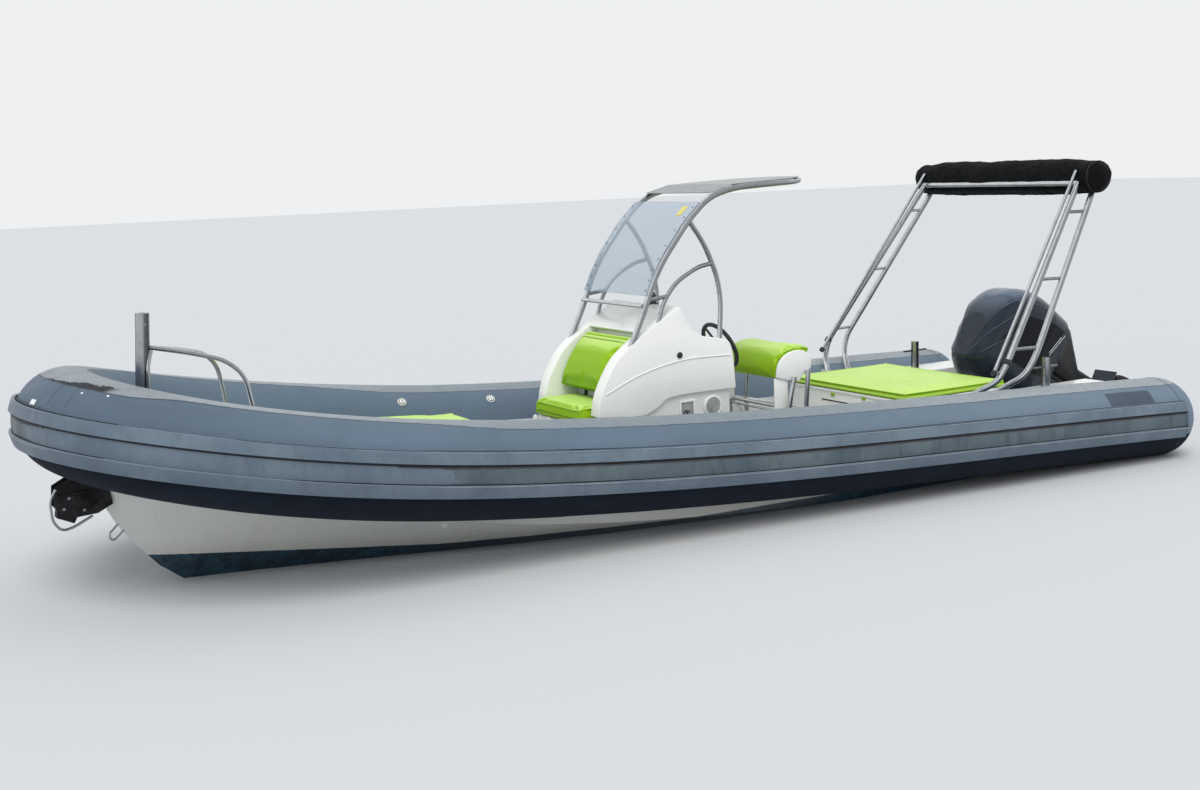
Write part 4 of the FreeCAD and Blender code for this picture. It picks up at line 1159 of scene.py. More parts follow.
class Yard:
    """Holds the frame and the finishes, and hands each piece its finish and body."""

    def __init__(self, frame: dict) -> None:
        """Make every finish once.
        """
        self.frame = frame
        finishes = (
            TubeFabric(), StrakeRubber("strake_rubber_upper"),
            StrakeRubber("strake_band", (0.054, 0.080, 0.100), (0.092, 0.124, 0.140),
                         (0.026, 0.037, 0.045), 0.6),
            HullGelcoat(), MouldedGelcoat(),
            MarineVinyl("green_vinyl"), MarineVinyl("green_vinyl_flat", bleach_from=0.15), Steel(),
            # Darker steel of the mooring posts: its low tone and dark bands are a painted reflection.
            Steel("mooring_steel", (0.46, 0.47, 0.49), (0.050, 0.050, 0.055), 3.0, 0.6), RustySteel(),
            ClearSheet(), Canvas(), CowlPaint(),
            PlainFinish("roof_grey", (0.19, 0.20, 0.205), (0.25, 0.4), coat=0.2),
            PlainFinish("bracket_grey", (0.040, 0.047, 0.058), (0.4, 0.55), metal=0.2, grain=0.0002),
            PlainFinish("block_iron", (0.12, 0.12, 0.12), (0.6, 0.8), metal=0.5, grain=0.0006,
                        grain_scale=200.0),
            PlainFinish("prop_black", (0.020, 0.020, 0.022), (0.3, 0.5), metal=0.3, coat=0.2, grain=0.0001),
            PlainFinish("moulded_black", (0.018, 0.018, 0.019), (0.4, 0.6), grain=0.0002),
            PlainFinish("soft_white", (0.80, 0.80, 0.77), (0.35, 0.5), grain=0.0001),
            PlainFinish("patch_grey", (0.050, 0.072, 0.100), (0.5, 0.65), grain=0.0002),
            PlainFinish("silver_line", (0.62, 0.64, 0.66), (0.25, 0.4), metal=0.3),
            PlainFinish("label_yellow", (0.66, 0.60, 0.16), (0.4, 0.55)),
            PlainFinish("label_white", (0.82, 0.82, 0.82), (0.4, 0.6)),
            PlainFinish("strake_dust_and_highlight", (0.190, 0.240, 0.290), (0.45, 0.6), mottle=0.3, grain=0.0002),
            PlainFinish("strake_lip", (0.052, 0.050, 0.060), (0.55, 0.7), mottle=0.3, grain=0.0002),
            PlainFinish("speaker_mesh", (0.40, 0.42, 0.42), (0.4, 0.6), mottle=0.3, grain=0.0006,
                        grain_scale=300.0),
            PlainFinish("recess_grey", (0.34, 0.35, 0.35), (0.4, 0.6), mottle=0.4, grain=0.0002),
            MarineVinyl("green_seam", (0.120, 0.225, 0.004), (0.22, 0.36, 0.02)),
            # Near black for grooves, slots and openings: painted shade.
            PlainFinish("painted_gap_shade", (0.006, 0.006, 0.007), (0.7, 0.9)),
            PlainFinish("dial_face", (0.010, 0.012, 0.016), (0.12, 0.2), coat=0.8),
            PlainFinish("zinc_grey", (0.30, 0.31, 0.31), (0.5, 0.7), metal=0.6, grain=0.0004,
                        grain_scale=300.0),
            PlainFinish("panel_black", (0.002, 0.003, 0.005), (0.36, 0.48), shine=0.2),
        )
        self.finishes = {finish.name: finish.build() for finish in finishes}
        self.covers: dict[str, Piece] = {}

    def dress(self, finish: str, *nodes: str) -> None:
        """Give fixed nodes a better material.

        Args:
            finish: The finish.
            nodes: The nodes' names.
        """
        for name in nodes:
            node = self.frame["nodes"][name]
            for slot in node.material_slots:
                slot.material = self.finishes[finish]
            if not node.material_slots:
                node.data.materials.append(self.finishes[finish])
            LOG.info("dressed %s in %s", name, finish)

    def fit(self, piece: Piece, finish: str, slot: str, body: Body = Body.BOAT,
            stands_for: Sequence[str] = ()) -> Piece:
        """Paint a piece, set it on its body and report it.

        Args:
            piece: The piece.
            finish: Its finish.
            slot: The record's material slot; not used.
            body: The body that it rides on.
            stands_for: Fixed nodes that it replaces.

        Returns:
            The same piece.
        """
        piece.data.materials.clear()
        piece.data.materials.append(self.finishes[finish])
        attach(piece, body.value)
        if stands_for:
            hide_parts(*stands_for)
        LOG.info("fitted %s on %s, %d faces", piece.name, body.value, len(piece.data.polygons))
        return piece

    def gather(self, name: str, parts: Sequence[Piece], finish: str, slot: str,
               body: Body = Body.BOAT) -> None:
        """Join parts and fit them as one piece.

        Args:
            name: The piece's name.
            parts: What it is made of.
            finish: Its finish.
            slot: The record's material slot; not used.
            body: The body that it rides on.
        """
        self.fit(Bench.joined(name, parts), finish, slot, body)

    def moulded(self, node: str, edge: float, kinked: bool = False, body: Body = Body.BOAT) -> None:
        """Stand a copy with rounded edges in place of a fixed gelcoat node.

        Args:
            node: The fixed node.
            edge: Radius of its edges.
            kinked: Whether its outline has kinks to round.
            body: The body that it rides on.
        """
        piece = Bench.welded_copy(self.frame["nodes"][node], node + "_moulding")
        Bench.eased(piece, edge, kinked)
        self.fit(piece, "moulded_gelcoat", "gelcoat", body, (node,))
        self.covers[node] = piece

    def above(self, node: str, point: Sequence[float], lift: float) -> Vector:
        """Nearest point on a fixed node's surface, lifted off it."""
        spot, normal = self.touch(node, point)
        return spot + normal * lift

    def touch(self, node: str, point: Sequence[float]) -> tuple[Vector, Vector]:
        """Nearest point on a fixed node's surface, and the outward direction there."""
        piece = self.covers.get(node, self.frame["nodes"][node])
        return piece.closest_point_on_mesh(Vector(point))[1:3]


@dataclass
class TubeLine:
    """Centre line and radius of the air tubes, for what is stuck on them."""

    radius: float = 0.272
    stern_y: float = 1.138
    bow_x: float = 4.625
    bow_y: float = 0.869
    bow_length: float = 2.419
    power_x: float = 3.9
    power_y: float = 2.2

    def height(self, x: float) -> float:
        """Height of the tube's axis."""
        return 0.267 + 0.0422 * x - 0.00318 * x ** 2 + 0.000214 * x ** 4

    def centre(self, x: float) -> tuple[Vector, Vector]:
        """Axis point of the port tube and its outward direction.

        Args:
            x: Station.

        Returns:
            The point and the direction.
        """
        if x <= self.bow_x:
            slope = (self.bow_y - self.stern_y) / self.bow_x
            spot = Vector((x, self.stern_y + slope * x, self.height(x)))
            return spot, Vector((-slope, 1.0, 0.0)).normalized()
        along = min((x - self.bow_x) / self.bow_length, 0.9999)
        across = (1.0 - along ** self.power_x) ** (1.0 / self.power_y)
        normal = Vector((self.power_x * along ** (self.power_x - 1.0) / self.bow_length,
                         self.power_y * across ** (self.power_y - 1.0) / self.bow_y, 0.0))
        return Vector((x, self.bow_y * across, self.height(x))), normal.normalized()

    def skin(self, x: float, angle: float, lift: float = 0.0, side: Side = Side.PORT) -> Vector:
        """Point on the tube's skin.

        Args:
            x: Station.
            angle: Degrees above the tube's outer side.
            lift: Height above the skin.
            side: Port or starboard.

        Returns:
            The point.
        """
        spot, out = self.centre(x)
        turn = math.radians(angle)
        reach = self.radius + lift
        spot = spot + out * (reach * math.cos(turn)) + Vector((0.0, 0.0, reach * math.sin(turn)))
        spot.y *= side.value
        return spot

    def beyond(self, y: float) -> float:
        """Station on the bow's curve where the port tube's axis is this far out."""
        return self.bow_x + self.bow_length * (1.0 - (y / self.bow_y) ** self.power_y) ** (1.0 / self.power_x)

    def round_the_bow(self) -> list[tuple[float, Side]]:
        """Stations from the port stern round the bow to the starboard stern.

        Returns:
            Each station with its side.
        """
        xs = [0.02 + 0.29 * number for number in range(23)]
        xs += [self.beyond(y) for y in (0.52, 0.44, 0.36, 0.28, 0.20, 0.13, 0.07, 0.025)]
        return [(x, Side.PORT) for x in xs] + [(x, Side.STARBOARD) for x in reversed(xs)]

    def bead(self, name: str, angle: float, lift: float, radius: float) -> Piece:
        """Thin bead run right round the tubes at one angle above their outer side."""
        points = [self.skin(x, angle, lift, side) for x, side in self.round_the_bow()]
        return Bench.bar(name, points, radius)

    def ribbon(self, name: str, angles: Flat, lift: float, thick: float, rows: int = 5) -> Piece:
        """Flat band run right round the tubes.

        Args:
            name: The piece's name.
            angles: Highest and lowest angle above the outer side.
            lift: Height of its outer face above the skin.
            thick: Its thickness.
            rows: Faces across it.

        Returns:
            The band.
        """
        stations = self.round_the_bow()

        def place(along: float, across: float) -> Vector:
            """Point of the band from its two shares."""
            x, side = stations[round(along * (len(stations) - 1))]
            return self.skin(x, angles[0] + across * (angles[1] - angles[0]), lift, side)

        piece = Bench.sheet(name, len(stations) - 1, rows, place, Vector(PORTWARD))
        Bench.refined(piece)
        Bench.thickened(piece, thick)
        return piece

    def patch(self, name: str, xs: Flat, angles: Flat, lift: float, side: Side) -> Piece:
        """Thin patch lying on the tube's skin.

        Args:
            name: The piece's name.
            xs: First and last station.
            angles: Lowest and highest angle above the outer side.
            lift: Thickness.
            side: Port or starboard.

        Returns:
            The piece.
        """
        def place(along: float, across: float) -> Vector:
            """Point of the patch from its two shares."""
            x = xs[0] + along * (xs[1] - xs[0])
            return self.skin(x, angles[0] + across * (angles[1] - angles[0]), lift, side)

        piece = Bench.sheet(name, 24, 10, place)
        Bench.worked(piece, bpy.ops.mesh.normals_make_consistent, inside=False)
        middle = ((xs[0] + xs[1]) / 2, sum(angles) / 2)
        Bench.faced(piece, self.skin(*middle, lift, side) - self.skin(*middle, 0.0, side))
        Bench.thickened(piece, lift + 0.0015)
        return piece


@dataclass
class AirTubes:
    """Air tubes, strakes and what is glued to them."""

    yard: Yard
    line: TubeLine = field(default_factory=TubeLine)
    valves: tuple[Flat, ...] = ((4.926, 137.0), (4.301, 135.0), (1.35, 135.0))
    badge_xs: Flat = (0.290, 0.690)
    badge_angles: Flat = (32.0, 53.5)
    grooves: tuple[tuple[float, float, float], ...] = (
        (13.2, 0.0125, 0.0052), (10.3, 0.0092, 0.0022), (-5.2, 0.0092, 0.0022), (-6.8, 0.0125, 0.0040),
        (-21.3, 0.0120, 0.0055), (28.2, 0.0100, 0.0042), (30.8, 0.0004, 0.0014))
    label_at: Point = (7.250, 0.200, 1.081)
    glue_spots: tuple[Point, ...] = ((7.060, 0.453, 1.134), (6.960, 0.560, 1.121))
    seams: Flat = (0.345, 0.255)
    seam_x: float = 0.055
    ledges: tuple[tuple[float, float, float], ...] = ((26.6, 0.0245, 0.0042), (-8.2, 0.0245, 0.0042))

    def build(self) -> None:
        """Dress the tubes and add their fittings."""
        self.yard.dress("tube_fabric_faded", "tube_port", "tube_starboard", "tube_bow")
        self.yard.dress("strake_rubber_upper", "strake_port", "strake_starboard", "strake_bow")
        line, fit = self.line, self.yard.fit
        for side in Side:
            for number, (x, angle) in enumerate(self.valves):
                self.valve(f"air_valve_{side.label}_{number}", x, angle, side)
            badge = line.patch(f"stern_patch_{side.label}", self.badge_xs, self.badge_angles, 0.0018, side)
            fit(badge, "patch_grey", "tube_fabric")
        fit(line.ribbon("strake_band", (11.9, -6.4), 0.0108, 0.0020), "strake_band", "strake_rubber")
        # Dark beads in the strake grooves: painted shadow of the grooves.
        for number, (angle, lift, radius) in enumerate(self.grooves):
            groove = line.bead(f"strake_groove_{number}", angle, lift - radius * 0.4, radius)
            fit(groove, "painted_gap_shade", "strake_rubber")
        for side in Side:
            ring = [line.skin(self.seam_x, -40.0 + 10.0 * number, 0.0006, side) for number in range(19)]
            fit(Bench.bar(f"stern_seam_{side.label}", ring, 0.0026), "patch_grey", "tube_fabric")
        fit(line.ribbon("strake_lip", (12.6, 10.6), 0.0122, 0.0020, 1), "strake_lip", "strake_rubber")
        # Pale beads on the strake ledges: dust and a painted highlight along their tops.
        for number, (angle, lift, radius) in enumerate(self.ledges):
            fit(line.bead(f"strake_ledge_{number}", angle, lift, radius), "strake_dust_and_highlight", "strake_rubber")
        self.bow_marks()

    def valve(self, name: str, x: float, angle: float, side: Side) -> None:
        """Air valve with its raised ring and cap.

        Args:
            name: The piece's name.
            x: Station.
            angle: Degrees above the tube's outer side.
            side: Port or starboard.
        """
        foot = self.line.skin(x, angle, 0.0, side)
        head = self.line.skin(x, angle, 0.02, side)
        axis = (head - foot).normalized()
        parts = [Bench.drum(name, 0.029, 0.005, foot + axis * 0.002, axis, 0.002),
                 Bench.drum(name + "_cap", 0.018, 0.010, foot + axis * 0.007, axis, 0.003),
                 Bench.ring(name + "_ring", 0.025, 0.0026, foot + axis * 0.005, axis)]
        self.yard.gather(name, parts, "soft_white", "black_plastic")
        across = axis.cross(Vector(FORE)).normalized()
        middle = foot + axis * 0.0125
        slot = Bench.bar(name + "_slot", (middle - across * 0.012, middle, middle + across * 0.012), 0.0022)
        groove = Bench.ring(name + "_groove", 0.0205, 0.0018, foot + axis * 0.0055, axis)
        self.yard.gather(name + "_marks", [slot, groove], *BLACK)

    def bow_marks(self) -> None:
        """Plain label, two glue spots and the seam tapes at the bow."""
        spot, out = self.yard.touch("tube_bow", self.label_at)
        across = Vector((-out.y, out.x, 0.0)).normalized()
        corners = [spot + across * (a * 0.026) + out.cross(across) * (b * 0.014) for a, b in
                   ((-1, -1), (1, -1), (1, 1), (-1, 1))]
        label = self.laid("bow_plain_label", corners)
        self.yard.fit(label, "label_white", "tube_fabric")
        spots = []
        for number, place in enumerate(self.glue_spots):
            spot, out = self.yard.touch("tube_bow", place)
            spots.append(Bench.dome(f"glue_spot_{number}", 0.0065, 0.0016, spot, out))
        self.yard.gather("glue_spots", spots, "label_white", "tube_fabric")
        for number, turn in enumerate(self.seams):
            station = self.line.beyond(turn)
            line = [self.line.skin(station, angle, 0.0002) for angle in (38.0, 46.0, 54.0, 62.0, 70.0)]
            self.yard.fit(Bench.bar(f"bow_seam_{number}", line, 0.0014), "patch_grey", "tube_fabric")

    def laid(self, name: str, corners: Sequence[Vector]) -> Piece:
        """Small label laid on the bow tube's skin between four corners.

        Args:
            name: The piece's name.
            corners: Its corners, in order.

        Returns:
            The label.
        """
        def place(across: float, along: float) -> Vector:
            """Point of the label from its two shares."""
            low = corners[0].lerp(corners[1], across)
            high = corners[3].lerp(corners[2], across)
            return self.yard.above("tube_bow", low.lerp(high, along), 0.0016)

        piece = Bench.sheet(name, 8, 5, place, self.yard.touch("tube_bow", corners[0])[1])
        Bench.thickened(piece, 0.003)
        return piece


@dataclass
class HullAndDeck:
    """Hull moulding, stern quarters and their small fittings."""

    yard: Yard
    outlet_at: Point = (5.25, 0.62, 0.14)

    def build(self) -> None:
        """Dress the hull and add its outlets."""
        self.yard.dress("hull_gelcoat", "hull")
        self.yard.dress("moulded_gelcoat", "quarter_port", "quarter_starboard")
        self.yard.dress("mooring_steel", "stern_bollards")
        for side in Side:
            spot, out = self.yard.touch("hull", side.off(self.outlet_at))
            ring = Bench.ring(f"hull_outlet_{side.label}", 0.016, 0.005, spot, out)
            core = Bench.drum("outlet_core", 0.014, 0.004, spot + out * 0.001, out, 0.001)
            self.yard.gather(ring.name, [ring, core], *WHITE)


@dataclass
class BowGear:
    """Mooring post, rail, roller and anchor."""

    yard: Yard
    post_foot: Point = (6.685, 0.0, 0.800)
    post_top: Point = (6.637, 0.0, 1.462)
    pin_share: float = 0.915
    cheek_y: float = 0.049
    leg_line: tuple[Point, ...] = (
        (6.612, 0.018, 1.262), (6.640, 0.046, 1.20), (6.648, 0.050, 1.10), (6.660, 0.050, 0.86))
    boss_at: Flat = (7.048, 0.523)
    bolts_at: tuple[Flat, ...] = ((7.028, 0.468), (7.128, 0.486), (7.098, 0.540))
    ribs: tuple[tuple[Flat, Flat], ...] = (
        ((7.150, 0.560), (6.990, 0.566)), ((7.120, 0.455), (7.060, 0.560)), ((7.020, 0.455), (6.960, 0.500)))

    def build(self) -> None:
        """Dress the gear, and add the post's cap and pin and the rail's legs."""
        self.yard.dress("polished_steel", "bow_rail", "bow_eye", "roller_guard")
        self.yard.dress("mooring_steel", "bow_bitt")
        self.yard.dress("weathered_galvanising", "bow_roller", "anchor")
        foot, top = Vector(self.post_foot), Vector(self.post_top)
        axis = (top - foot).normalized()
        cap = Bench.dome("bitt_cap", 0.0368, 0.008, top, axis, 32)
        pin_at = foot + (top - foot) * self.pin_share
        pin = Bench.bar("bitt_pin", [(pin_at.x, y, pin_at.z) for y in (-0.052, 0.0, 0.052)], 0.0075)
        self.yard.gather("bitt_cap_and_pin", [cap, pin], *STEEL)
        self.roller_parts()
        legs = [Bench.bar("rail_leg", [side.off(point) for point in self.leg_line], 0.0105) for side in Side]
        self.yard.gather("bow_rail_legs", legs, *STEEL)

    def roller_parts(self) -> None:
        """Bosses, washers, ribs and bolt heads on the cheeks of the bow roller."""
        dark: list[Piece] = []
        bright: list[Piece] = []
        for side in Side:
            out = (0.0, side.value, 0.0)
            y = self.cheek_y * side.value
            boss = (self.boss_at[0], y, self.boss_at[1])
            dark.append(Bench.drum("boss", 0.047, 0.016, boss, out, 0.004, 8))
            dark.append(Bench.drum("boss_rim", 0.026, 0.024, boss, out, 0.003, 24))
            for x, z in self.bolts_at:
                dark.append(Bench.drum("washer", 0.017, 0.007, (x, y, z), out, 0.002, 24))
                bright.append(Bench.drum("bolt", 0.0095, 0.014, (x, y, z), out, 0.003, 6))
            for start, end in self.ribs:
                middle = ((start[0] + end[0]) / 2, y * 1.06, (start[1] + end[1]) / 2)
                ends = (start[0], y, start[1]), middle, (end[0], y, end[1])
                dark.append(Bench.bar("rib", ends, 0.0065))
        self.yard.gather("roller_bosses", dark, "weathered_galvanising", "weathered_steel")
        self.yard.gather("roller_bolts", bright, "zinc_grey", "weathered_steel")


@dataclass
class ConsoleTrim:
    """Console, screen and helm."""

    yard: Yard
    side_y: float = 0.385
    plinth_y: float = 0.363
    speaker: Flat = (3.255, 0.620)
    vent: Flat = (3.448, 0.623)
    socket: Flat = (3.508, 0.969)
    frame_bars: tuple[tuple[Flat, Flat], ...] = (
        ((-0.060, 0.042), (0.060, 0.056)), ((-0.060, -0.056), (0.060, -0.042)),
        ((-0.060, -0.044), (-0.046, 0.044)), ((0.046, -0.044), (0.060, 0.044)))
    crease: tuple[Flat, ...] = (
        (4.042, 0.779), (3.905, 0.843), (3.724, 0.898), (3.576, 0.926), (3.427, 0.943), (3.26, 0.940),
        (3.122, 0.935))
    sheet_line: tuple[Flat, ...] = (
        (3.728, 1.350), (3.671, 1.470), (3.594, 1.598), (3.450, 1.776), (3.318, 1.897))
    screw_y: float = 0.349
    compass_at: Point = (3.49, 0.06, 1.25)
    dials: tuple[Point, ...] = ((3.415, 0.18, 1.135), (3.415, 0.07, 1.135), (3.415, -0.05, 1.135))

    def build(self) -> None:
        """Dress the console and add its trim."""
        yard = self.yard
        yard.moulded("console", 0.007, True)
        yard.moulded("front_seat_base", 0.006)
        yard.dress("moulded_black", "helm_boss", "steering_wheel", "engine_control")
        yard.dress("polished_steel", "screen_frame", "screen_hoops")
        yard.dress("clear_acrylic", "windscreen")
        yard.dress("roof_grey", "roof_plate")
        self.side_fittings()
        for side in Side:
            points = [(x, (self.side_y + 0.0005) * side.value, z) for x, z in self.crease]
            ridge = Bench.bar(f"crease_{side.label}", points, 0.0045)
            yard.fit(ridge, "moulded_gelcoat", "gelcoat")
        self.screws()
        self.dash()
        self.label()

    def side_fittings(self) -> None:
        """Speaker, vent and socket on the port side, in place of their plain solids."""
        piece = Bench.joined("speaker_and_vent", self.speaker_parts() + self.vent_frame())
        self.yard.fit(piece, *WHITE, stands_for=("console_fittings",))
        self.recess()
        x, z = self.socket
        y, out = self.side_y, PORTWARD
        dark = [Bench.drum("socket_body", 0.018, 0.007, (x, y + 0.0038, z), out, 0.002),
                Bench.ring("socket_ring", 0.0165, 0.003, (x, y + 0.006, z), out),
                Bench.dome("socket_cap", 0.009, 0.004, (x, y + 0.007, z), out)]
        self.yard.gather("socket", dark, *BLACK)

    def speaker_parts(self) -> list[Piece]:
        """Fit the speaker's mesh, and make its white rim, ring and screws.

        Returns:
            The white parts.
        """
        x, z = self.speaker
        y, out = self.plinth_y, PORTWARD
        white = [Bench.drum("speaker_rim", 0.072, 0.008, (x, y + 0.004, z), out, 0.003, 48),
                 Bench.ring("speaker_ring", 0.060, 0.006, (x, y + 0.0085, z), out)]
        for number in range(4):
            turn = math.pi * (0.25 + 0.5 * number)
            spot = (x + 0.068 * math.cos(turn), y + 0.008, z + 0.068 * math.sin(turn))
            white.append(Bench.dome("rim_screw", 0.004, 0.002, spot, out, 10))
        mesh = [Bench.drum("speaker_mesh", 0.056, 0.004, (x, y + 0.0085, z), out, 0.0015, 40)]
        for radius in (0.050, 0.041, 0.032, 0.023, 0.014):
            mesh.append(Bench.ring("speaker_rib", radius, 0.0018, (x, y + 0.0108, z), out))
        self.yard.gather("speaker_mesh", mesh, "speaker_mesh", "gelcoat")
        return white

    def vent_frame(self) -> list[Piece]:
        """White frame round the vent and its four screws.

        Returns:
            The white parts.
        """
        x, z = self.vent
        y, white = self.plinth_y, []
        for low, high in self.frame_bars:
            white.append(Bench.block("vent_frame", (x + low[0], y + 0.0003, z + low[1]),
                                     (x + high[0], y + 0.008, z + high[1]), 0.0015))
        for across in (-0.053, 0.053):
            for up in (-0.049, 0.049):
                spot = (x + across, y + 0.008, z + up)
                white.append(Bench.dome("frame_screw", 0.0035, 0.0016, spot, PORTWARD, 10))
        return white

    def recess(self) -> None:
        """Grey back, outlet and tap inside the vent's frame."""
        x, z = self.vent
        y = self.plinth_y
        low, high = (x - 0.047, y + 0.0002, z - 0.043), (x + 0.047, y + 0.0010, z + 0.043)
        back = Bench.block("recess_back", low, high, 0.0003)
        self.yard.fit(back, "recess_grey", "gelcoat")
        hose = Bench.ring("recess_outlet", 0.013, 0.0035, (x + 0.010, y + 0.0040, z - 0.022), PORTWARD)
        pin = Bench.bar("recess_tap", ((x - 0.020, y + 0.004, z - 0.012), (x - 0.008, y + 0.006, z - 0.016),
                                       (x + 0.006, y + 0.005, z - 0.024)), 0.0028)
        self.yard.gather("recess_fitting", [hose, pin], *BLACK)

    def screws(self) -> None:
        """Screws along the edges of the clear sheet."""
        heads = []
        for start, end in zip(self.sheet_line, self.sheet_line[1:]):
            run = Vector((end[0] - start[0], end[1] - start[1]))
            out = Vector((run.y, -run.x)).normalized()
            if out.x < 0.0:
                out = -out
            for share in (0.25, 0.75):
                x = start[0] + run.x * share + out.x * 0.0062
                z = start[1] + run.y * share + out.y * 0.0062
                for side in Side:
                    spot = (x, self.screw_y * side.value, z)
                    heads.append(Bench.dome("head", 0.0055, 0.0025, spot, (out.x, 0.0, out.y), 10))
        self.yard.gather("screen_screws", heads, *BLACK)

    def dash(self) -> None:
        """Dials, a row of switches and a compass above the wheel."""
        dark: list[Piece] = []
        faces: list[Piece] = []
        for x, y, z in self.dials:
            spot, out = self.yard.touch("console", (x, y, z))
            dark.append(Bench.drum("dial_body", 0.047, 0.008, spot + out * 0.003, out, 0.002, 40))
            dark.append(Bench.ring("dial_bezel", 0.044, 0.004, spot + out * 0.008, out))
            faces.append(Bench.drum("dial_glass", 0.041, 0.003, spot + out * 0.0085, out, 0.001, 40))
        for number in range(6):
            spot, out = self.yard.touch("console", (3.33, 0.24 - 0.034 * number, 1.085))
            dark.append(Bench.block("switch", tuple(spot - Vector((0.011, 0.008, 0.002))),
                                    tuple(spot + Vector((0.011, 0.008, 0.009))), 0.002))
        self.yard.gather("dash_bodies", dark, *BLACK)
        self.yard.gather("dial_glasses", faces, "dial_face", "black_plastic")
        spot, _ = self.yard.touch("console", self.compass_at)
        bowl = [Bench.drum("compass_foot", 0.034, 0.024, spot + Vector((0.0, 0.0, 0.008)), UP, 0.004),
                Bench.drum("compass_body", 0.028, 0.060, spot + Vector((0.0, 0.0, 0.045)), UP, 0.008)]
        self.yard.gather("compass_bowl", bowl, *BLACK)
        glass = Bench.dome("compass_glass", 0.026, 0.020, spot + Vector((0.0, 0.0, 0.074)), UP, 24)
        self.yard.fit(glass, "dial_face", "black_plastic")

    def label(self) -> None:
        """Plain label stuck on the clear sheet."""
        (x0, z0), (x1, z1) = self.sheet_line[3], self.sheet_line[4]
        run = Vector((x1 - x0, 0.0, z1 - z0)).normalized()
        out = Vector((run.z, 0.0, -run.x))
        middle = Vector((x0, 0.265, z0)) + run * 0.10 + out * 0.0062
        angle = math.atan2(run.x, run.z)
        low = middle - Vector((0.0005, 0.028, 0.040))
        high = middle + Vector((0.0005, 0.028, 0.040))
        piece = Bench.block("screen_plain_label", tuple(low), tuple(high), 0.0003, (0.0, angle, 0.0))
        self.yard.fit(piece, "label_yellow", "clear_sheet")


@dataclass(frozen=True)
class Pad:
    """One cushion: the node it stands for, its body and how it swells."""

    node: str
    body: Body
    rests: Point
    shrink: float = 0.007
    cap: float = 0.016
    voxel: float = 0.010
    finish: str = "green_vinyl"
    fill: float = 0.75
    relax: int = 4


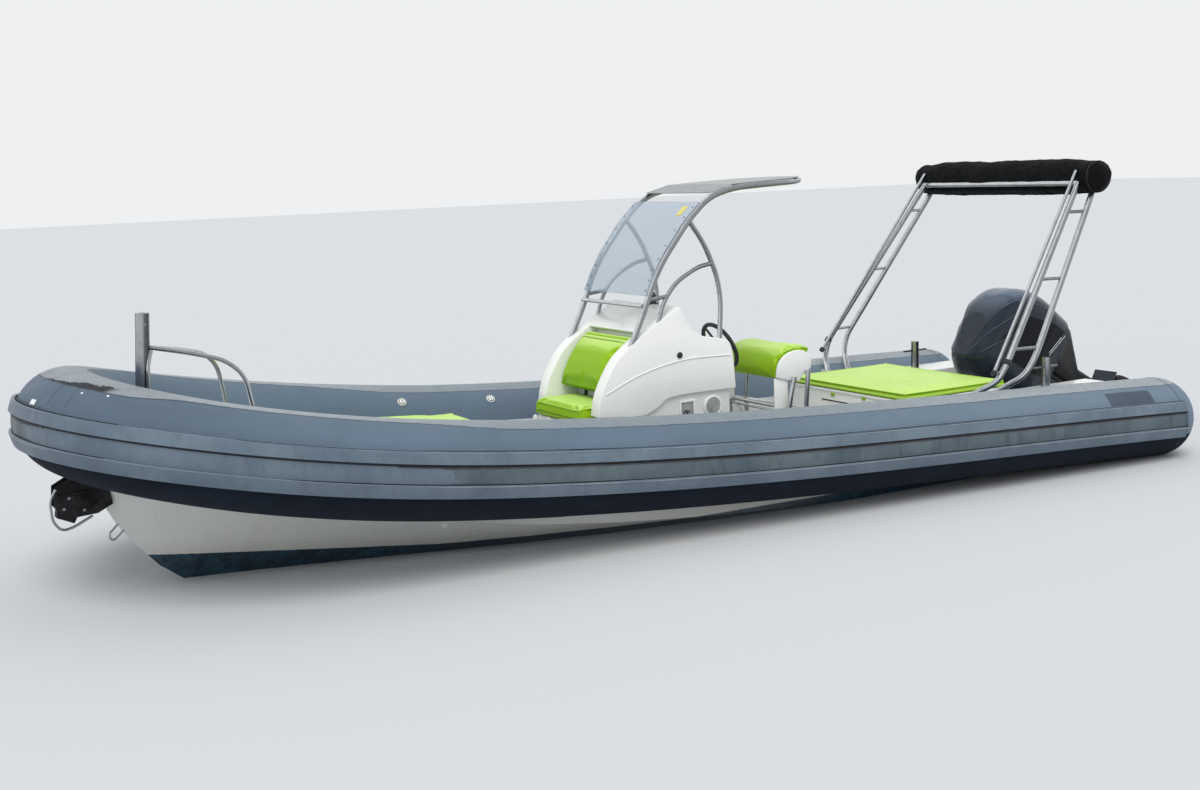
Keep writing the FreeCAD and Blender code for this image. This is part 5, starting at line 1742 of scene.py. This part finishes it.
@dataclass
class Cushions:
    """Seat cushions, bolster, sun pad and bow cushion, swelled by cloth pressure."""

    yard: Yard
    pads: tuple[Pad, ...] = (
        Pad("front_seat_cushion", Body.BOAT, (0.0, 0.0, -1.0), cap=0.014),
        Pad("front_seat_back", Body.BOAT, (-0.9, 0.0, -0.4), cap=0.022, relax=14),
        Pad("helm_bolster", Body.BOAT, (0.0, 0.0, -1.0), shrink=0.008, cap=0.014, relax=26),
        Pad("sun_pad", Body.AFT_LID, (0.0, 0.0, -1.0), cap=0.012, finish="green_vinyl_flat"),
        Pad("bow_cushion", Body.BOW_LID, (0.0, 0.0, -1.0), cap=0.012, finish="green_vinyl_flat"),
    )
    pressure: float = 4.0
    stiffness: float = 25.0
    bending: float = 0.6
    held_depth: float = 0.012
    last_frame: int = 20
    quick_voxel: float = 0.02
    welt: float = 0.0038
    knobs: tuple[Flat, ...] = ((-0.315, 0.560), (-0.130, 0.572), (0.130, 0.572), (0.315, 0.560))
    back_line: tuple[Flat, ...] = (
        (3.700, 1.070), (3.745, 1.082), (3.790, 1.080), (3.845, 1.048), (3.902, 0.986), (3.945, 0.918),
        (3.980, 0.830), (3.990, 0.765))
    roll_line: tuple[Flat, ...] = (
        (2.708, 0.735), (2.710, 0.820), (2.650, 0.890), (2.560, 0.920), (2.470, 0.918), (2.415, 0.900),
        (2.440, 0.845), (2.452, 0.780), (2.500, 0.745), (2.530, 0.710), (2.610, 0.708))
    bow_line: tuple[Flat, ...] = (
        (4.668, 0.447), (4.9, 0.450), (5.2, 0.450), (5.36, 0.447), (5.60, 0.398), (5.80, 0.352),
        (5.815, 0.30), (5.816, 0.0))

    def build(self) -> None:
        """Make every cushion and its welts."""
        made = {pad.node: self.swelled(pad) for pad in self.pads}
        self.sewn("sun_pad_welt", made["sun_pad"], self.rectangle("sun_pad", 0.569), True, Body.AFT_LID)
        self.sewn("front_cushion_welt", made["front_seat_cushion"],
                  self.rectangle("front_seat_cushion", 0.690), True)
        ring = list(self.bow_line) + [(x, -y) for x, y in reversed(self.bow_line[:-1])]
        ring += [(4.667, -0.2), (4.667, 0.2)]
        rising = [(x, y, 0.622 + 0.08 * (x - 4.68)) for x, y in ring]
        self.sewn("bow_cushion_welt", made["bow_cushion"], rising, True, Body.BOW_LID)
        for side in Side:
            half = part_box("front_seat_back")[1].y - 0.004
            points = [(x, half * side.value, z) for x, z in self.back_line]
            self.sewn(f"seat_back_welt_{side.label}", made["front_seat_back"], points)
            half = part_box("helm_bolster")[1].y - 0.006
            points = [(x, half * side.value, z) for x, z in self.roll_line]
            self.sewn(f"bolster_welt_{side.label}", made["helm_bolster"], points, True)
        self.seams(made["front_seat_back"], made["front_seat_cushion"])

    def seams(self, back: Piece, front: Piece) -> None:
        """Sewn lines across the seat back and the front cushion, the roll, the strap and the knobs.

        Args:
            back: The seat back's cover.
            front: The front cushion's cover.
        """
        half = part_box("front_seat_back")[1].y - 0.006
        reach = [(-1.0 + 0.2 * number) * half for number in range(11)]
        line = [(3.830, y * 0.97, 1.072) for y in reach]
        self.sewn("seat_back_roll_seam", back, line, finish="green_seam")
        line = [Bench.on_skin(back, (3.775, y * 0.97, 1.110), -0.008) for y in reach]
        roll = self.yard.fit(Bench.bar("seat_back_roll", line, 0.021), "green_vinyl", "upholstery")
        low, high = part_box("front_seat_cushion")
        line = [(high.x + 0.01, y, low.z + 0.042) for y in reach]
        self.sewn("front_cushion_seam", front, line, finish="green_seam")
        strap = Bench.block("seat_strap", (3.846, -0.207, 0.690), (3.857, -0.183, 0.765), 0.002)
        self.yard.fit(strap, "moulded_black", "upholstery")
        knobs = [Bench.dome("knob", 0.026, 0.016, (4.161, y, z), FORE, 20) for y, z in self.knobs]
        self.yard.gather("front_seat_knobs", knobs, *WHITE)

    def rectangle(self, node: str, height: float) -> list[Point]:
        """Outline of a node's box in plan, with its corners eased, at one height.

        Args:
            node: The node's name.
            height: The outline's height.

        Returns:
            Its points, in order.
        """
        low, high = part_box(node)
        ease = 0.03
        xs = [low.x + ease, (low.x + high.x) / 2, high.x - ease]
        ys = [low.y + ease, low.y * 0.5, 0.0, high.y * 0.5, high.y - ease]
        ring = [(x, low.y) for x in xs] + [(high.x, y) for y in ys]
        ring += [(x, high.y) for x in reversed(xs)] + [(low.x, y) for y in reversed(ys)]
        return [(x, y, height) for x, y in ring]

    def swelled(self, pad: Pad) -> Piece:
        """Swell one cushion from its node.

        Args:
            pad: What to make.

        Returns:
            The finished cushion.
        """
        piece = Bench.welded_copy(self.yard.frame["nodes"][pad.node], pad.node + "_cover")
        Bench.remeshed(piece, pad.voxel)
        Bench.grown(piece, -pad.shrink)
        Bench.smoothed(piece, pad.relax)
        self.inflate(piece, pad)
        Bench.refined(piece)
        self.yard.fit(piece, pad.finish, "upholstery", pad.body, (pad.node,))
        return piece

    def inflate(self, piece: Piece, pad: Pad) -> None:
        """Run the cloth under pressure and keep its capped result.

        Args:
            piece: The remeshed cushion.
            pad: Its settings.
        """
        rests = Vector(pad.rests).normalized()
        held = piece.vertex_groups.new(name="held")
        reach = max(vertex.co.dot(rests) for vertex in piece.data.vertices)
        for vertex in piece.data.vertices:
            if vertex.co.dot(rests) > reach - self.held_depth:
                held.add([vertex.index], 1.0, "REPLACE")
        tool = piece.modifiers.new("swell", "CLOTH")
        cloth = tool.settings
        cloth.use_pressure = True
        cloth.uniform_pressure_force = self.pressure
        cloth.effector_weights.gravity = 0.0
        cloth.vertex_group_mass = "held"
        cloth.quality = 4
        cloth.tension_stiffness = self.stiffness
        cloth.compression_stiffness = self.stiffness
        cloth.bending_stiffness = self.bending
        tool.point_cache.frame_start = 1
        tool.point_cache.frame_end = self.last_frame
        for frame in range(1, self.last_frame + 1):
            bpy.context.scene.frame_set(frame)
        shown = piece.evaluated_get(bpy.context.evaluated_depsgraph_get())
        moved = [vertex.co.copy() for vertex in shown.data.vertices]
        for vertex, place in zip(piece.data.vertices, moved):
            step = place - vertex.co
            if step.length > pad.cap:
                step = step.normalized() * pad.cap
            vertex.co = vertex.co + step
        piece.modifiers.remove(tool)
        bpy.context.scene.frame_set(1)
        Bench.smoothed(piece, 2)

    def sewn(self, name: str, cushion: Piece, points: Sequence[Point], closed: bool = False,
             body: Body = Body.BOAT, finish: str = "green_vinyl") -> None:
        """Lay a welt on the nearest points of a cushion's skin.

        Args:
            name: The welt's name.
            cushion: What it is sewn to.
            points: Points of its line.
            closed: Whether it runs round into itself.
            body: The body that it rides on.
            finish: Its finish.
        """
        line = [Bench.on_skin(cushion, point, 0.0008) for point in points]
        piece = Bench.bar(name, line, self.welt, closed)
        self.yard.fit(piece, finish, "upholstery", body)


@dataclass
class HelmSeatAndLockers:
    """Helm seat's frame and panels, and the two lockers with their lids."""

    yard: Yard
    leg_feet: tuple[Flat, ...] = ((2.590, 0.3343), (2.470, 0.3343))
    brace_line: tuple[Point, ...] = ((2.612, 0.270, 0.489), (2.611, 0.150, 0.395), (2.611, 0.030, 0.300))
    handle: tuple[Point, Point] = ((1.8695, -0.252, 0.430), (1.8712, 0.032, 0.440))
    latches: tuple[tuple[float, float], ...] = ((-0.129, 0.491), (0.201, 0.501))

    def build(self) -> None:
        """Dress the seat and the lockers and add their small parts."""
        self.yard.moulded("seat_panels", 0.004, True)
        self.yard.moulded("aft_locker", 0.008)
        self.yard.moulded("aft_lid", 0.006, body=Body.AFT_LID)
        self.yard.moulded("bow_locker", 0.008)
        self.yard.moulded("bow_lid", 0.006, body=Body.BOW_LID)
        self.yard.dress("polished_steel", "seat_frame")
        self.seat_parts()
        self.locker_parts()

    def seat_parts(self) -> None:
        """Feet, gussets and braces of the helm seat's frame."""
        feet = []
        for side in Side:
            for x, y in self.leg_feet:
                feet.append(Bench.drum("leg_flange", 0.032, 0.005, (x, y * side.value, 0.1330), UP, 0.0015))
                for turn in (45.0, 135.0, 225.0, 315.0):
                    angle = math.radians(turn)
                    spot = (x + 0.025 * math.cos(angle), y * side.value + 0.025 * math.sin(angle), 0.1355)
                    feet.append(Bench.dome("flange_screw", 0.0045, 0.0022, spot, UP, 10))
        self.yard.gather("leg_flanges", feet, *STEEL)
        gussets = [Bench.block("gusset", (2.607, y - 0.006, 0.517), (2.718, y + 0.006, 0.728), 0.004)
                   for y in (0.300, -0.300)]
        self.yard.gather("seat_gussets", gussets, "moulded_gelcoat", "gelcoat")
        braces = [Bench.bar("foot_bar", [(2.611, y, 0.300) for y in (-0.330, 0.0, 0.330)], 0.010),
                  Bench.bar("lower_bar", [(2.612, y, 0.489) for y in (-0.330, 0.0, 0.330)], 0.009)]
        for side in Side:
            braces.append(Bench.bar("brace", [side.off(point) for point in self.brace_line], 0.009))
        self.yard.gather("seat_braces", braces, *STEEL)

    def locker_parts(self) -> None:
        """Handle slot and latches of the aft locker."""
        # The handle slot is a thin dark block: painted shade of its recess.
        slot = Bench.block("locker_handle_slot", self.handle[0], self.handle[1], 0.0005)
        self.yard.fit(slot, "painted_gap_shade", "black_plastic")
        rim = [Bench.block("slot_lip", (1.8693, -0.262, 0.440), (1.8735, 0.042, 0.4445), 0.0012),
               Bench.block("slot_lip", (1.8693, -0.262, 0.4255), (1.8725, 0.042, 0.430), 0.0012)]
        self.yard.gather("locker_handle_rim", rim, *WHITE)
        tabs = [Bench.block("latch", (1.8690, y - 0.018, z - 0.020), (1.8780, y + 0.018, z + 0.004), 0.003)
                for y, z in self.latches]
        self.yard.gather("locker_latches", tabs, "green_vinyl_flat", "upholstery")


@dataclass
class SternArch:
    """Arch, canopy stays and the folded canopy in its boot."""

    yard: Yard
    boot_x: float = 0.300
    boot_z: float = 1.960
    sag: float = 0.028
    feet: tuple[Flat, ...] = ((1.440, 0.700), (1.235, 0.705))
    clamps: tuple[tuple[float, float, Point, Point], ...] = (
        (0.019, 0.030, (1.341, 0.8925, 0.684), (-0.55, -0.08, 0.80)),
        (0.027, 0.034, (1.2515, 0.9245, 0.748), (-0.58, -0.12, 0.80)))

    def build(self) -> None:
        """Dress the arch, add its feet and clamps, and sew the boot."""
        self.yard.dress("polished_steel", "stern_arch", "bimini_stays")
        flanges = []
        for side in Side:
            for x, y in self.feet:
                spot = (x, y * side.value, 0.4785)
                flanges.append(Bench.drum("arch_flange", 0.042, 0.006, spot, UP, 0.002))
        self.yard.gather("arch_flanges", flanges, *STEEL)
        clamps = [Bench.drum("stay_clamp", radius, depth, side.off(spot), axis, 0.003)
                  for side in Side for radius, depth, spot, axis in self.clamps]
        self.yard.gather("stay_clamps", clamps, *BLACK)
        self.boot()

    def boot(self) -> None:
        """Boot of rumpled canvas with its hem and end ties."""
        piece = Bench.welded_copy(self.yard.frame["nodes"]["bimini_boot"], "canopy_boot_cover")
        Bench.remeshed(piece, 0.012)
        Bench.smoothed(piece, 6)
        Bench.grown(piece, -0.004)
        for vertex in piece.data.vertices:
            if vertex.co.z < self.boot_z:
                vertex.co.z -= self.sag * min((self.boot_z - vertex.co.z) / 0.09, 1.0)
        Bench.rumpled(piece, 0.20, 0.022)
        Bench.rumpled(piece, 0.055, 0.007)
        Bench.refined(piece)
        self.yard.fit(piece, "black_canvas", "canopy_cloth", stands_for=("bimini_boot",))
        points = []
        for number in range(13):
            y = -0.80 + 1.60 * number / 12.0
            points.append(Bench.on_skin(piece, (self.boot_x + 0.07, y, self.boot_z - 0.20), 0.001))
        hem = Bench.bar("boot_hem", points, 0.0042)
        self.yard.fit(hem, "black_canvas", "canopy_cloth")
        ties = []
        for side in Side:
            ring = []
            for number in range(12):
                turn = 2.0 * math.pi * number / 12.0
                x, z = self.boot_x + 0.2 * math.cos(turn), self.boot_z + 0.2 * math.sin(turn)
                ring.append(Bench.on_skin(piece, (x, 0.845 * side.value, z), 0.001))
            ties.append(Bench.bar("boot_tie", ring, 0.0045, True))
        self.yard.gather("boot_ties", ties, "moulded_black", "canopy_cloth")


@dataclass
class Outboard:
    """Outboard tilted up behind the transom."""

    yard: Yard
    tilt: float = 61.0
    pivot: tuple[float, float] = (0.050, 0.265)
    seam_z: float = 0.3022
    panel_lift: float = 0.002
    crease_lines: tuple[tuple[Point, ...], ...] = (
        ((-0.060, 0.150, 0.780), (-0.190, 0.205, 0.690), (-0.300, 0.228, 0.600)),
        ((0.012, 0.010, 0.788), (-0.074, 0.084, 0.811), (-0.234, 0.166, 0.777), (-0.335, 0.206, 0.718),
         (-0.430, 0.225, 0.655)),
        ((-0.100, 0.060, 0.811), (-0.263, 0.111, 0.809), (-0.403, 0.162, 0.774), (-0.515, 0.199, 0.694),
         (-0.554, 0.235, 0.560), (-0.570, 0.245, 0.400)))
    upper_panel: tuple[Point, ...] = (
        (-0.508, 0.30, 0.308), (-0.090, 0.30, 0.308), (-0.092, 0.30, 0.590), (-0.455, 0.30, 0.572))
    lower_panel: tuple[Point, ...] = (
        (-0.506, 0.30, 0.172), (-0.110, 0.30, 0.235), (-0.095, 0.30, 0.296), (-0.509, 0.30, 0.296))
    intake: tuple[Point, ...] = (
        (-0.386, 0.240, 0.622), (-0.250, 0.240, 0.634), (-0.066, 0.180, 0.752), (-0.275, 0.225, 0.682))
    stripes: tuple[tuple[Flat, Flat], ...] = (
        ((-0.278, 0.236), (-0.479, 0.148)), ((-0.298, 0.247), (-0.451, 0.181)))

    def build(self) -> None:
        """Dress the outboard and add its panels, stripes and small parts."""
        yard = self.yard
        yard.dress("bracket_grey", "clamp_bracket", "swivel_bracket", "tilt_barrel")
        yard.dress("polished_steel", "tilt_rod")
        yard.dress("cowl_metallic", "gearcase", "lower_cowl", "cowl")
        yard.dress("panel_black", "midsection")
        yard.dress("block_iron", "engine_block")
        yard.dress("prop_black", "propeller")
        self.seam()
        self.creases()
        self.side_panels()
        self.small_parts()

    def tilted(self, x: float, y: float, z: float) -> Vector:
        """Place on the outboard from its running position.

        Args:
            x: Distance ahead of the tilt pivot.
            y: Distance to port.
            z: Height above the tilt pivot.

        Returns:
            The same spot with the outboard tilted up.
        """
        turn = math.radians(self.tilt)
        return Vector((self.pivot[0] + x * math.cos(turn) + z * math.sin(turn), y,
                       self.pivot[1] - x * math.sin(turn) + z * math.cos(turn)))

    def seam(self) -> None:
        """Rubber gasket between the two cowls."""
        back, front, half, corner = -0.649, 0.166, 0.2645, 0.12
        outline = ((front - corner, half), (-0.24, half), (back + corner, half), (back, half - corner),
                   (back, 0.0), (back, corner - half), (back + corner, -half), (-0.24, -half),
                   (front - corner, -half), (front, corner - half), (front, 0.0), (front, half - corner))
        line = [self.yard.above("lower_cowl", self.tilted(x, y, self.seam_z), -0.0005) for x, y in outline]
        gasket = Bench.bar("cowl_gasket", line, 0.0038, True)
        self.yard.fit(gasket, *BLACK, Body.STEER)

    def draped(self, name: str, corners: Sequence[Point], side: Side, node: str = "cowl") -> Piece:
        """Thin panel lying on a cowl's side.

        Args:
            name: The piece's name.
            corners: Four corners in running position, in order round the panel.
            side: Port or starboard.
            node: What it lies on.

        Returns:
            The panel.
        """
        def place(across: float, along: float) -> Vector:
            """Point of the panel from its two shares."""
            low = self.between(corners[0], corners[1], across)
            high = self.between(corners[3], corners[2], across)
            return self.on_cowl(self.between(low, high, along), side, self.panel_lift, node)

        piece = Bench.sheet(name, 26, 14, place, Vector((0.0, side.value, 0.0)))
        Bench.thickened(piece, 2.0 * self.panel_lift)
        return piece

    @staticmethod
    def between(start: Sequence[float], end: Sequence[float], share: float) -> list[float]:
        """Point part of the way between two."""
        return [a + (b - a) * share for a, b in zip(start, end)]

    def on_cowl(self, place: Sequence[float], side: Side, lift: float, node: str = "cowl") -> Vector:
        """Point above a cowl's skin nearest a running position.

        Args:
            place: The running position on the port side.
            side: Port or starboard.
            lift: Height above the skin.
            node: Which cowl.

        Returns:
            The point with the outboard tilted up.
        """
        x, y, z = place
        return self.yard.above(node, self.tilted(x, y * side.value, z), lift)

    def traced(self, name: str, line: Sequence[Point], side: Side, lift: float, radius: float) -> Piece:
        """Bead that follows the upper cowl's skin along a line of running positions.

        Args:
            name: The piece's name.
            line: Corner points of the line.
            side: Port or starboard.
            lift: Height of the bead's middle above the skin.
            radius: The bead's radius.

        Returns:
            The bead.
        """
        points = []
        for start, end in zip(line, line[1:]):
            for number in range(6):
                points.append(self.on_cowl(self.between(start, end, number / 6.0), side, lift))
        points.append(self.on_cowl(line[-1], side, lift - radius))
        return Bench.bar(name, points, radius)

    def creases(self) -> None:
        """Raised creases of the upper cowl."""
        for side in Side:
            ridges = [self.traced("ridge", line, side, -0.0030, 0.0085) for line in self.crease_lines]
            self.yard.gather(f"cowl_creases_{side.label}", ridges, "cowl_metallic", "cowl_paint", Body.STEER)

    def side_panels(self) -> None:
        """Dark side panels, the air intakes and the twin bright lines."""
        for side in Side:
            halves = [self.draped("panel_upper", self.upper_panel, side),
                      self.draped("panel_lower", self.lower_panel, side, "lower_cowl")]
            self.yard.gather(f"cowl_panel_{side.label}", halves, "panel_black", "cowl_paint", Body.STEER)
            # The intake is a dark sheet: painted shade of its opening.
            intake = self.draped(f"cowl_intake_{side.label}", self.intake, side)
            self.yard.fit(intake, "painted_gap_shade", "cowl_paint", Body.STEER)
            lines = []
            for start, end in self.stripes:
                points = []
                for number in range(6):
                    x, z = (a + (b - a) * number / 5.0 for a, b in zip(start, end))
                    points.append(self.on_cowl((x, 0.30, z), side, 0.0022, "lower_cowl"))
                lines.append(Bench.bar("stripe", points, 0.0030))
            self.yard.gather(f"cowl_stripes_{side.label}", lines, "silver_line", "cowl_paint", Body.STEER)

    def small_parts(self) -> None:
        """Latch of the cowl, caps of the swivel bracket, and bolts of the clamp bracket."""
        middle = self.tilted(-0.668, 0.0, 0.285)
        reach = Vector((0.014, 0.045, 0.018))
        latch = Bench.block("cowl_latch", tuple(middle - reach), tuple(middle + reach), 0.005,
                            (0.0, math.radians(self.tilt), 0.0))
        self.yard.fit(latch, *BLACK, Body.STEER)
        caps = []
        for side in Side:
            spot = self.tilted(-0.18, 0.062 * side.value, -0.36)
            caps.append(Bench.dome("cap", 0.014, 0.008, spot, (0.0, side.value, 0.0), 20))
        self.yard.gather("swivel_caps", caps, "zinc_grey", "bracket_paint", Body.TILT)
        bolts = []
        for side in Side:
            for y in (0.125, 0.160):
                for z in (-0.03, 0.15):
                    bolts.append(Bench.drum("bolt", 0.011, 0.008, side.off((-0.018, y, z)), FORE, 0.002, 6))
            cap_at = side.off((0.050, 0.133, 0.265))
            bolts.append(Bench.drum("pivot_cap", 0.024, 0.006, cap_at, PORTWARD, 0.002))
        self.yard.gather("bracket_bolts", bolts, "zinc_grey", "bracket_paint")


@dataclass
class Studio:
    """Floor at the waterline, soft light and the camera that took the photo."""

    position: Point = (8.402, 7.756, 2.123)
    right: Point = (-0.859506, 0.509801, -0.036791)
    down: Point = (0.110303, 0.114719, -0.987255)
    forward: Point = (-0.499083, -0.852610, -0.154834)
    lens: float = 43.25
    pale: Colour = (0.86, 0.87, 0.88)
    floor_tone: Colour = (0.545, 0.555, 0.565)
    floor_size: float = 160.0
    sky_tone: Colour = (0.92, 0.96, 1.0)
    sky_strength: float = 0.88
    sun_from: Point = (0.35, 0.55, 1.0)
    sun_tone: Colour = (1.0, 0.985, 0.96)
    sun_strength: float = 1.9
    sun_spread: float = 35.0

    def build(self) -> None:
        """Set up floor, world, lamps, camera and view."""
        self.floor()
        self.world()
        self.lamps()
        self.camera()
        bpy.context.scene.view_settings.view_transform = "Standard"

    def floor(self) -> None:
        """Pale floor at the still water's height."""
        floor = Bench.added("floor", bpy.ops.mesh.primitive_plane_add, size=self.floor_size)
        material = bpy.data.materials.new("pale_floor")
        material.use_nodes = True
        tree = material.node_tree
        tree.nodes.clear()
        output = tree.nodes.new("ShaderNodeOutputMaterial")
        matt = tree.nodes.new("ShaderNodeBsdfDiffuse")
        matt.inputs["Color"].default_value = (*self.floor_tone, 1.0)
        tree.links.new(matt.outputs[0], output.inputs[0])
        floor.data.materials.append(material)

    def world(self) -> None:
        """Even pale sky: bright to the camera, gentler as light."""
        world = bpy.data.worlds.new("sky")
        bpy.context.scene.world = world
        world.use_nodes = True
        tree = world.node_tree
        tree.nodes.clear()
        output = tree.nodes.new("ShaderNodeOutputWorld")
        share = tree.nodes.new("ShaderNodeMixShader")
        seen, light = tree.nodes.new("ShaderNodeBackground"), tree.nodes.new("ShaderNodeBackground")
        seen.inputs["Color"].default_value = (*self.pale, 1.0)
        light.inputs["Color"].default_value = (*self.sky_tone, 1.0)
        light.inputs["Strength"].default_value = self.sky_strength
        path = tree.nodes.new("ShaderNodeLightPath")
        straight = path.outputs["Is Camera Ray"]
        for kind in ("Is Glossy Ray", "Is Transmission Ray"):
            either = tree.nodes.new("ShaderNodeMath")
            either.operation = "MAXIMUM"
            tree.links.new(straight, either.inputs[0])
            tree.links.new(path.outputs[kind], either.inputs[1])
            straight = either.outputs[0]
        tree.links.new(straight, share.inputs[0])
        tree.links.new(light.outputs[0], share.inputs[1])
        tree.links.new(seen.outputs[0], share.inputs[2])
        tree.links.new(share.outputs[0], output.inputs[0])

    def lamps(self) -> None:
        """One soft high sun from port and a little ahead."""
        bpy.ops.object.select_all(action="DESELECT")
        bpy.ops.object.light_add(type="SUN", rotation=Bench.turn_to(self.sun_from))
        sun = bpy.context.object
        sun.name = "soft_sun"
        sun.data.energy = self.sun_strength
        sun.data.angle = math.radians(self.sun_spread)
        sun.visible_glossy = False
        sun.data.color = self.sun_tone

    def camera(self) -> None:
        """Camera at the photograph's viewpoint."""
        bpy.ops.object.select_all(action="DESELECT")
        bpy.ops.object.camera_add()
        camera = bpy.context.object
        columns = (self.right, tuple(-c for c in self.down), tuple(-c for c in self.forward))
        turn = Matrix([[columns[col][row] for col in range(3)] for row in range(3)])
        camera.matrix_world = Matrix.Translation(self.position) @ turn.to_4x4()
        camera.data.sensor_fit = "HORIZONTAL"
        camera.data.sensor_width = 36.0
        camera.data.lens = self.lens
        camera.data.clip_end = 400.0
        bpy.context.scene.camera = camera


def main() -> None:
    """Build and dress the boat."""
    logging.basicConfig(level=logging.INFO, format="%(name)s: %(message)s")
    for thing in list(bpy.data.objects):
        bpy.data.objects.remove(thing)
    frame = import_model()
    yard = Yard(frame)
    for assembly in (AirTubes(yard), HullAndDeck(yard), BowGear(yard), ConsoleTrim(yard), Cushions(yard),
                     HelmSeatAndLockers(yard), SternArch(yard), Outboard(yard)):
        assembly.build()
        LOG.info("%s done", type(assembly).__name__)
    Studio().build()


if __name__ == "__main__":
    main()
